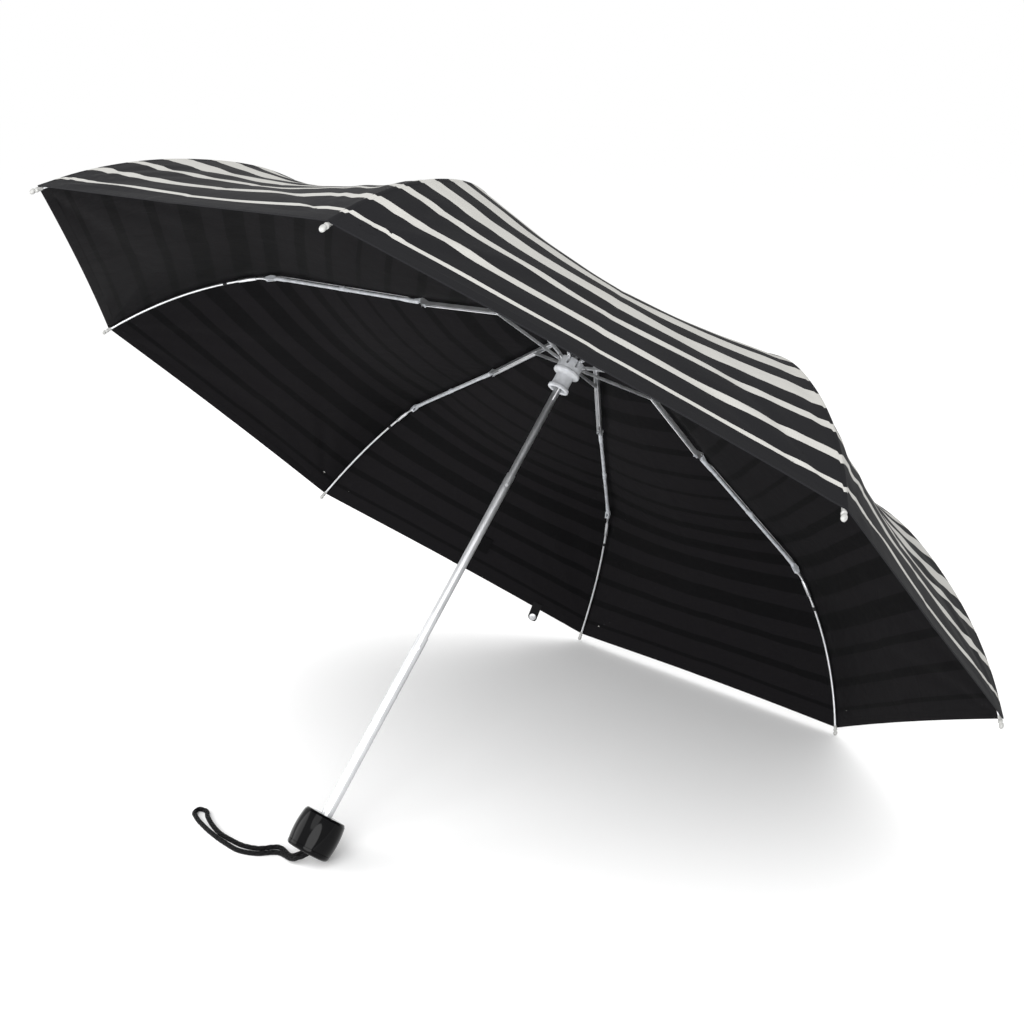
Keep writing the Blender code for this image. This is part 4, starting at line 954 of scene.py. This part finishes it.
class UMBRELLA_OT_runner(bpy.types.Operator):
    """Mould the sliding runner with its ring, waist, collar and slotted crown"""

    bl_idname = "umbrella.runner"
    bl_label = "Runner"

    def execute(self, context):
        """Builds the runner and cuts its slots."""
        pivot = RUNNER_PIVOT_HEIGHT / MM
        top, crown = pivot + 3.4, pivot - 8.0
        rings = in_mm([
            (6.8, 0.4), (7.2, 0.0), (9.9, 0.0), (10.5, 0.25), (10.7, 0.8), (10.7, 2.3), (10.5, 2.9),
            (9.9, 3.25), (9.3, 3.5), (9.0, 4.2), (8.75, 7.0), (8.7, 10.0), (8.8, crown - 7.0),
            (9.2, crown - 5.6), (10.2, crown - 4.6), (12.2, crown - 4.1), (13.1, crown - 3.8),
            (13.5, crown - 3.1), (13.5, crown - 1.4), (13.2, crown - 0.8), (12.6, crown - 0.3),
            (12.5, crown + 0.3), (12.5, top - 1.0), (12.2, top - 0.3), (11.6, top), (10.35, top),
            (10.35, pivot - 0.85), (8.65, pivot - 0.85), (8.65, top), (6.1, top), (5.75, top - 0.4),
            (5.75, 8.0), (6.8, 7.7),
        ])
        made = lathe("runner_body", rings, closed_ring=True)
        cut_out(made, slot_cutters((pivot - 4.6) * MM, (top + 1.0) * MM))
        bpy.ops.object.shade_smooth_by_angle(angle=math.radians(35))
        place(made, UMBRELLA)
        coated(made, finish_of(moulded_nylon))
        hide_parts("runner")
        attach(made, "runner")
        return {"FINISHED"}


class UMBRELLA_OT_cap(bpy.types.Operator):
    """Turn the domed cap over the cloth at the top of the shaft"""

    bl_idname = "umbrella.cap"
    bl_label = "Top cap"

    def execute(self, context):
        """Builds the cap."""
        local = UMBRELLA.inverted()
        heights = [(local @ v.co).z for v in NODES["ferrule_cap"].data.vertices]
        base = max(heights) - CAP_HEIGHT
        dome = [(CAP_RADIUS * math.cos(t), base + 1.6 * MM + (CAP_HEIGHT - 1.6 * MM) * math.sin(t))
                for t in np.linspace(0.04, 1.52, 14)]
        rings = [(CAP_RADIUS - 0.7 * MM, base), (CAP_RADIUS - 0.1 * MM, base + 0.15 * MM),
                 (CAP_RADIUS, base + 0.6 * MM), (CAP_RADIUS, base + 1.4 * MM), *dome]
        made = lathe("top_cap", rings)
        place(made, UMBRELLA)
        coated(made, finish_of(gloss_abs))
        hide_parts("ferrule_cap")
        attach(made, "upper_tube")
        return {"FINISHED"}


# ---------------------------------------------------------------- ribs
def outer_axis(share, length):
    """A point of the bowed outer rod's axis, from its pivot."""
    return share * length, OUTER_ROD_RISE * (1 - share) + 4 * OUTER_BOW * share * (1 - share)


def laid(piece):
    """Turns a piece that was made about Z so that it runs along X."""
    return place(piece, LAID_ALONG_X)


def lay_piece(name, rings, sides, angle, finish):
    """A turned piece that runs along X, with its finish."""
    made = laid(lathe(name, rings, sides=sides, angle=angle))
    made.data.materials.append(finish)
    return made


def fit_to_ribs(master, word, body, slope, replaced=False):
    """Copies a piece to all eight ribs, in place of the frame's own where it replaces it."""
    for rib in range(1, RIB_COUNT + 1):
        made = copy_placed(master, f"{word}_{rib}", rib_place(rib, f"{body}_{rib}_hinge", slope))
        if replaced:
            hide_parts(f"{body}_{rib}")
        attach(made, f"{body}_{rib}")
    bpy.data.objects.remove(master)


class UMBRELLA_OT_outer_ribs(bpy.types.Operator):
    """Draw the bowed outer rods with their sleeves, thread ties and tip beads"""

    bl_idname = "umbrella.outer_ribs"
    bl_label = "Outer ribs"

    def execute(self, context):
        """Builds one outer rib and copies it to the others."""
        slope, length = outer_chord()
        start = outer_axis(0.06, length)
        rings = [(1.0 * MM, -1.9 * MM, 0, 0.5 * MM), (1.8 * MM, -0.9 * MM, 0, 0.9 * MM),
                 (2.0 * MM, 0.3 * MM, 0, 0.9 * MM), (1.9 * MM, 4.0 * MM, start[1] * 0.6, 0.9 * MM),
                 (1.6 * MM, start[0] - 3 * MM, start[1] * 0.9, 0.9 * MM)]
        for share in np.linspace(0.06, 0.985, 30):
            x, z = outer_axis(share, length)
            rings.append((OUTER_ROD_RADIUS, x, z))
        rod = lay_piece("outer_rod", rings, 14, 50, finish_of(nickel_plated_steel))

        def about_rod(name, spots, sides, finish):
            shaped = []
            for share, radius in spots:
                x, z = outer_axis(share, length)
                shaped.append((radius * MM, x, z))
            return lay_piece(name, shaped, sides, 50, finish)

        unit = 1 * MM / length
        sleeve = about_rod("sleeve", [(0.062, 1.5), (0.064, 1.9), (0.115, 2.0), (0.165, 1.9),
                                      (0.167, 1.45)], 16, finish_of(nickel_plated_steel))
        tie_at = 0.17 + 12 * unit
        tie = about_rod("tie", [(tie_at + step * unit, 1.45 + 0.45 * (index % 2))
                                for index, step in enumerate(np.linspace(0, 4.5, 11))],
                        14, finish_of(spun_thread))
        bead = about_rod("bead", [
            (1 - 9.0 * unit, 1.3), (1 - 8.8 * unit, 1.7), (1 - 5.2 * unit, 1.75), (1 - 5.0 * unit, 2.0),
            (1 - 4.2 * unit, 2.25), (1 - 3.4 * unit, 2.0), (1 - 3.0 * unit, 1.6), (1 - 2.4 * unit, 1.6),
            (1 - 1.8 * unit, 2.1), (1 - 0.7 * unit, 2.35), (1 + 0.6 * unit, 2.1), (1 + 1.6 * unit, 1.3),
            (1 + 2.0 * unit, 0.4)], 18, finish_of(enamelled_tip))
        master = joined("outer_rib_master", [rod, sleeve, tie, bead])
        fit_to_ribs(master, "outer_rod", "outer_rib", slope, replaced=True)
        return {"FINISHED"}


# the clip in millimetres: radius, place along the rod, rise, half width
CLIP_PROFILE = [
    (1.9, -5.0, 0.1, 1.9), (2.3, -4.7, 0.2, 2.2), (2.4, -2.0, 0.4, 2.25), (2.9, -1.2, 0.9, 2.25),
    (3.1, 0.0, 1.1, 2.25), (2.9, 1.2, 0.9, 2.25), (2.4, 2.0, 0.4, 2.25), (2.3, 4.7, 0.2, 2.2),
    (1.9, 5.0, 0.1, 1.9),
]


class UMBRELLA_OT_rib_fittings(bpy.types.Operator):
    """Add the control wire and its clip to each middle rib"""

    bl_idname = "umbrella.rib_fittings"
    bl_label = "Rib fittings"

    def execute(self, context):
        """Builds one set of fittings and copies it to the others."""
        slope, length = middle_slope()
        axis = -MIDDLE_ROD_DROP
        over = axis + MIDDLE_ROD_RADIUS + CONTROL_WIRE_GAP
        way = [(12 * MM, axis + 1.6 * MM), (18 * MM, over)]
        way += [(x, over) for x in np.linspace(30 * MM, length - 26 * MM, 8)]
        way += [(length - 14 * MM, over - 0.2 * MM), (length - 6 * MM, axis + 1.6 * MM)]
        rings = [(CONTROL_WIRE_RADIUS, x, z) for x, z in way]
        wire = lay_piece("wire", rings, 10, 50, finish_of(nickel_plated_steel))
        centre = length * 0.5
        rings = [(r * MM, centre + x * MM, axis + z * MM, w * MM) for r, x, z, w in CLIP_PROFILE]
        clip = lay_piece("clip", rings, 20, 40, finish_of(pultruded_glassfibre))
        master = joined("fitting_master", [wire, clip])
        fit_to_ribs(master, "control_wire", "middle_rib", slope)
        return {"FINISHED"}


class UMBRELLA_OT_frame_finishes(bpy.types.Operator):
    """Give the frame's own pieces their real finishes"""

    bl_idname = "umbrella.frame_finishes"
    bl_label = "Frame finishes"

    def execute(self, context):
        """Sets the material of each frame node from its slot."""
        makers = {
            "plated_steel": nickel_plated_steel,
            "bright_tube_steel": bright_tube_steel,
            "light_grey_plastic": moulded_nylon,
            "grey_glassfibre": pultruded_glassfibre,
            "gloss_black_plastic": gloss_abs,
        }
        for subpart in frame["record"]["subparts"]:
            maker = makers.get(subpart["material_slot"])
            if maker:
                mesh = NODES[subpart["node"]].data
                mesh.materials.clear()
                mesh.materials.append(finish_of(maker))
        return {"FINISHED"}


# ---------------------------------------------------------------- stage
CAMERA_OFFSET = Vector((-0.9688, -0.8740, 0.2670))
CAMERA_LOOK = Vector((0.6904, 0.6637, -0.2880))
CAMERA_UP = Vector((0.1905, 0.2173, 0.9573))
CAMERA_LENS = 47.93
CAMERA_SENSOR = 36.0
FLOOR_SIZE = 60.0
# name, place in metres, power in watts, width in metres
LIGHT_BOXES = (
    ("key_box", (-1.6, -0.5, 2.2), 20.0, 1.6),
    ("front_box", (-1.5, -1.2, 0.75), 34.0, 1.5),
    ("side_box", (-1.2, 1.2, 0.6), 12.0, 1.2),
    ("back_box", (1.6, 1.8, 2.0), 8.0, 1.8),
)
LIGHT_TARGET = Vector((0.0, 0.0, 0.3))


class UMBRELLA_OT_stage(bpy.types.Operator):
    """Set up the camera, the floor and soft studio lights"""

    bl_idname = "umbrella.stage"
    bl_label = "Stage"

    def execute(self, context):
        """Adds the camera, the floor, four soft boxes and an even sky."""
        clear_selection()
        look = CAMERA_LOOK.normalized()
        right = look.cross(CAMERA_UP).normalized()
        turn = Matrix((right, right.cross(look), -look)).transposed()
        bpy.ops.object.camera_add(location=UMBRELLA.translation + CAMERA_OFFSET,
                                  rotation=turn.to_euler())
        camera = context.object
        camera.data.lens = CAMERA_LENS
        camera.data.sensor_width = CAMERA_SENSOR
        context.scene.camera = camera
        bpy.ops.mesh.primitive_plane_add(size=FLOOR_SIZE)
        floor = context.object
        floor.name = "studio_floor"
        material, _ = new_finish("pale_floor", Base_Color=colour("#ffffff"), Roughness=1.0,
                                 Specular_IOR_Level=0.0)
        floor.data.materials.append(material)
        for name, spot, power, size in LIGHT_BOXES:
            aim = (LIGHT_TARGET - Vector(spot)).to_track_quat("-Z", "Y")
            bpy.ops.object.light_add(type="AREA", location=spot, rotation=aim.to_euler())
            box = context.object
            box.name = name
            box.data.energy, box.data.size, box.data.shape = power, size, "DISK"
        world = bpy.data.worlds.new("studio_sky")
        world.use_nodes = True
        sky = world.node_tree.nodes["Background"].inputs
        sky["Color"].default_value = (1, 1, 1, 1)
        sky["Strength"].default_value = 1.0
        context.scene.world = world
        context.scene.view_settings.view_transform = "Standard"
        return {"FINISHED"}


class UMBRELLA_PT_pieces(bpy.types.Panel):
    """Lists the umbrella's settings and its pieces"""

    bl_idname = "UMBRELLA_PT_pieces"
    bl_label = "Folding umbrella"
    bl_space_type = "VIEW_3D"
    bl_region_type = "UI"
    bl_category = "Umbrella"

    def draw(self, context):
        """Draws the settings and one button for each operator."""
        for settings in (context.scene.umbrella_cloth, context.scene.umbrella_fittings):
            for name in settings.bl_rna.properties.keys():
                if name not in ("rna_type", "name"):
                    self.layout.prop(settings, name)
        for operator in OPERATORS:
            self.layout.operator(operator.bl_idname)


OPERATORS = (
    UMBRELLA_OT_stage, UMBRELLA_OT_strap, UMBRELLA_OT_canopy, UMBRELLA_OT_closing_band,
    UMBRELLA_OT_handle, UMBRELLA_OT_runner, UMBRELLA_OT_cap, UMBRELLA_OT_outer_ribs,
    UMBRELLA_OT_rib_fittings, UMBRELLA_OT_frame_finishes,
)
CLASSES = (UmbrellaCloth, UmbrellaFittings, *OPERATORS, UMBRELLA_PT_pieces)


def register():
    """Registers the classes and hangs the settings on the scene."""
    for kind in CLASSES:
        bpy.utils.register_class(kind)
    bpy.types.Scene.umbrella_cloth = bpy.props.PointerProperty(type=UmbrellaCloth)
    bpy.types.Scene.umbrella_fittings = bpy.props.PointerProperty(type=UmbrellaFittings)


def unregister():
    """Takes the settings and the classes away again."""
    del bpy.types.Scene.umbrella_cloth
    del bpy.types.Scene.umbrella_fittings
    for kind in reversed(CLASSES):
        bpy.utils.unregister_class(kind)


def main():
    """Builds every piece in order."""
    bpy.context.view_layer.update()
    register()
    for operator in OPERATORS:
        group, name = operator.bl_idname.split(".")
        if getattr(getattr(bpy.ops, group), name)() != {"FINISHED"}:
            raise RuntimeError(f"{operator.bl_label} was not finished")


if __name__ == "__main__":
    main()
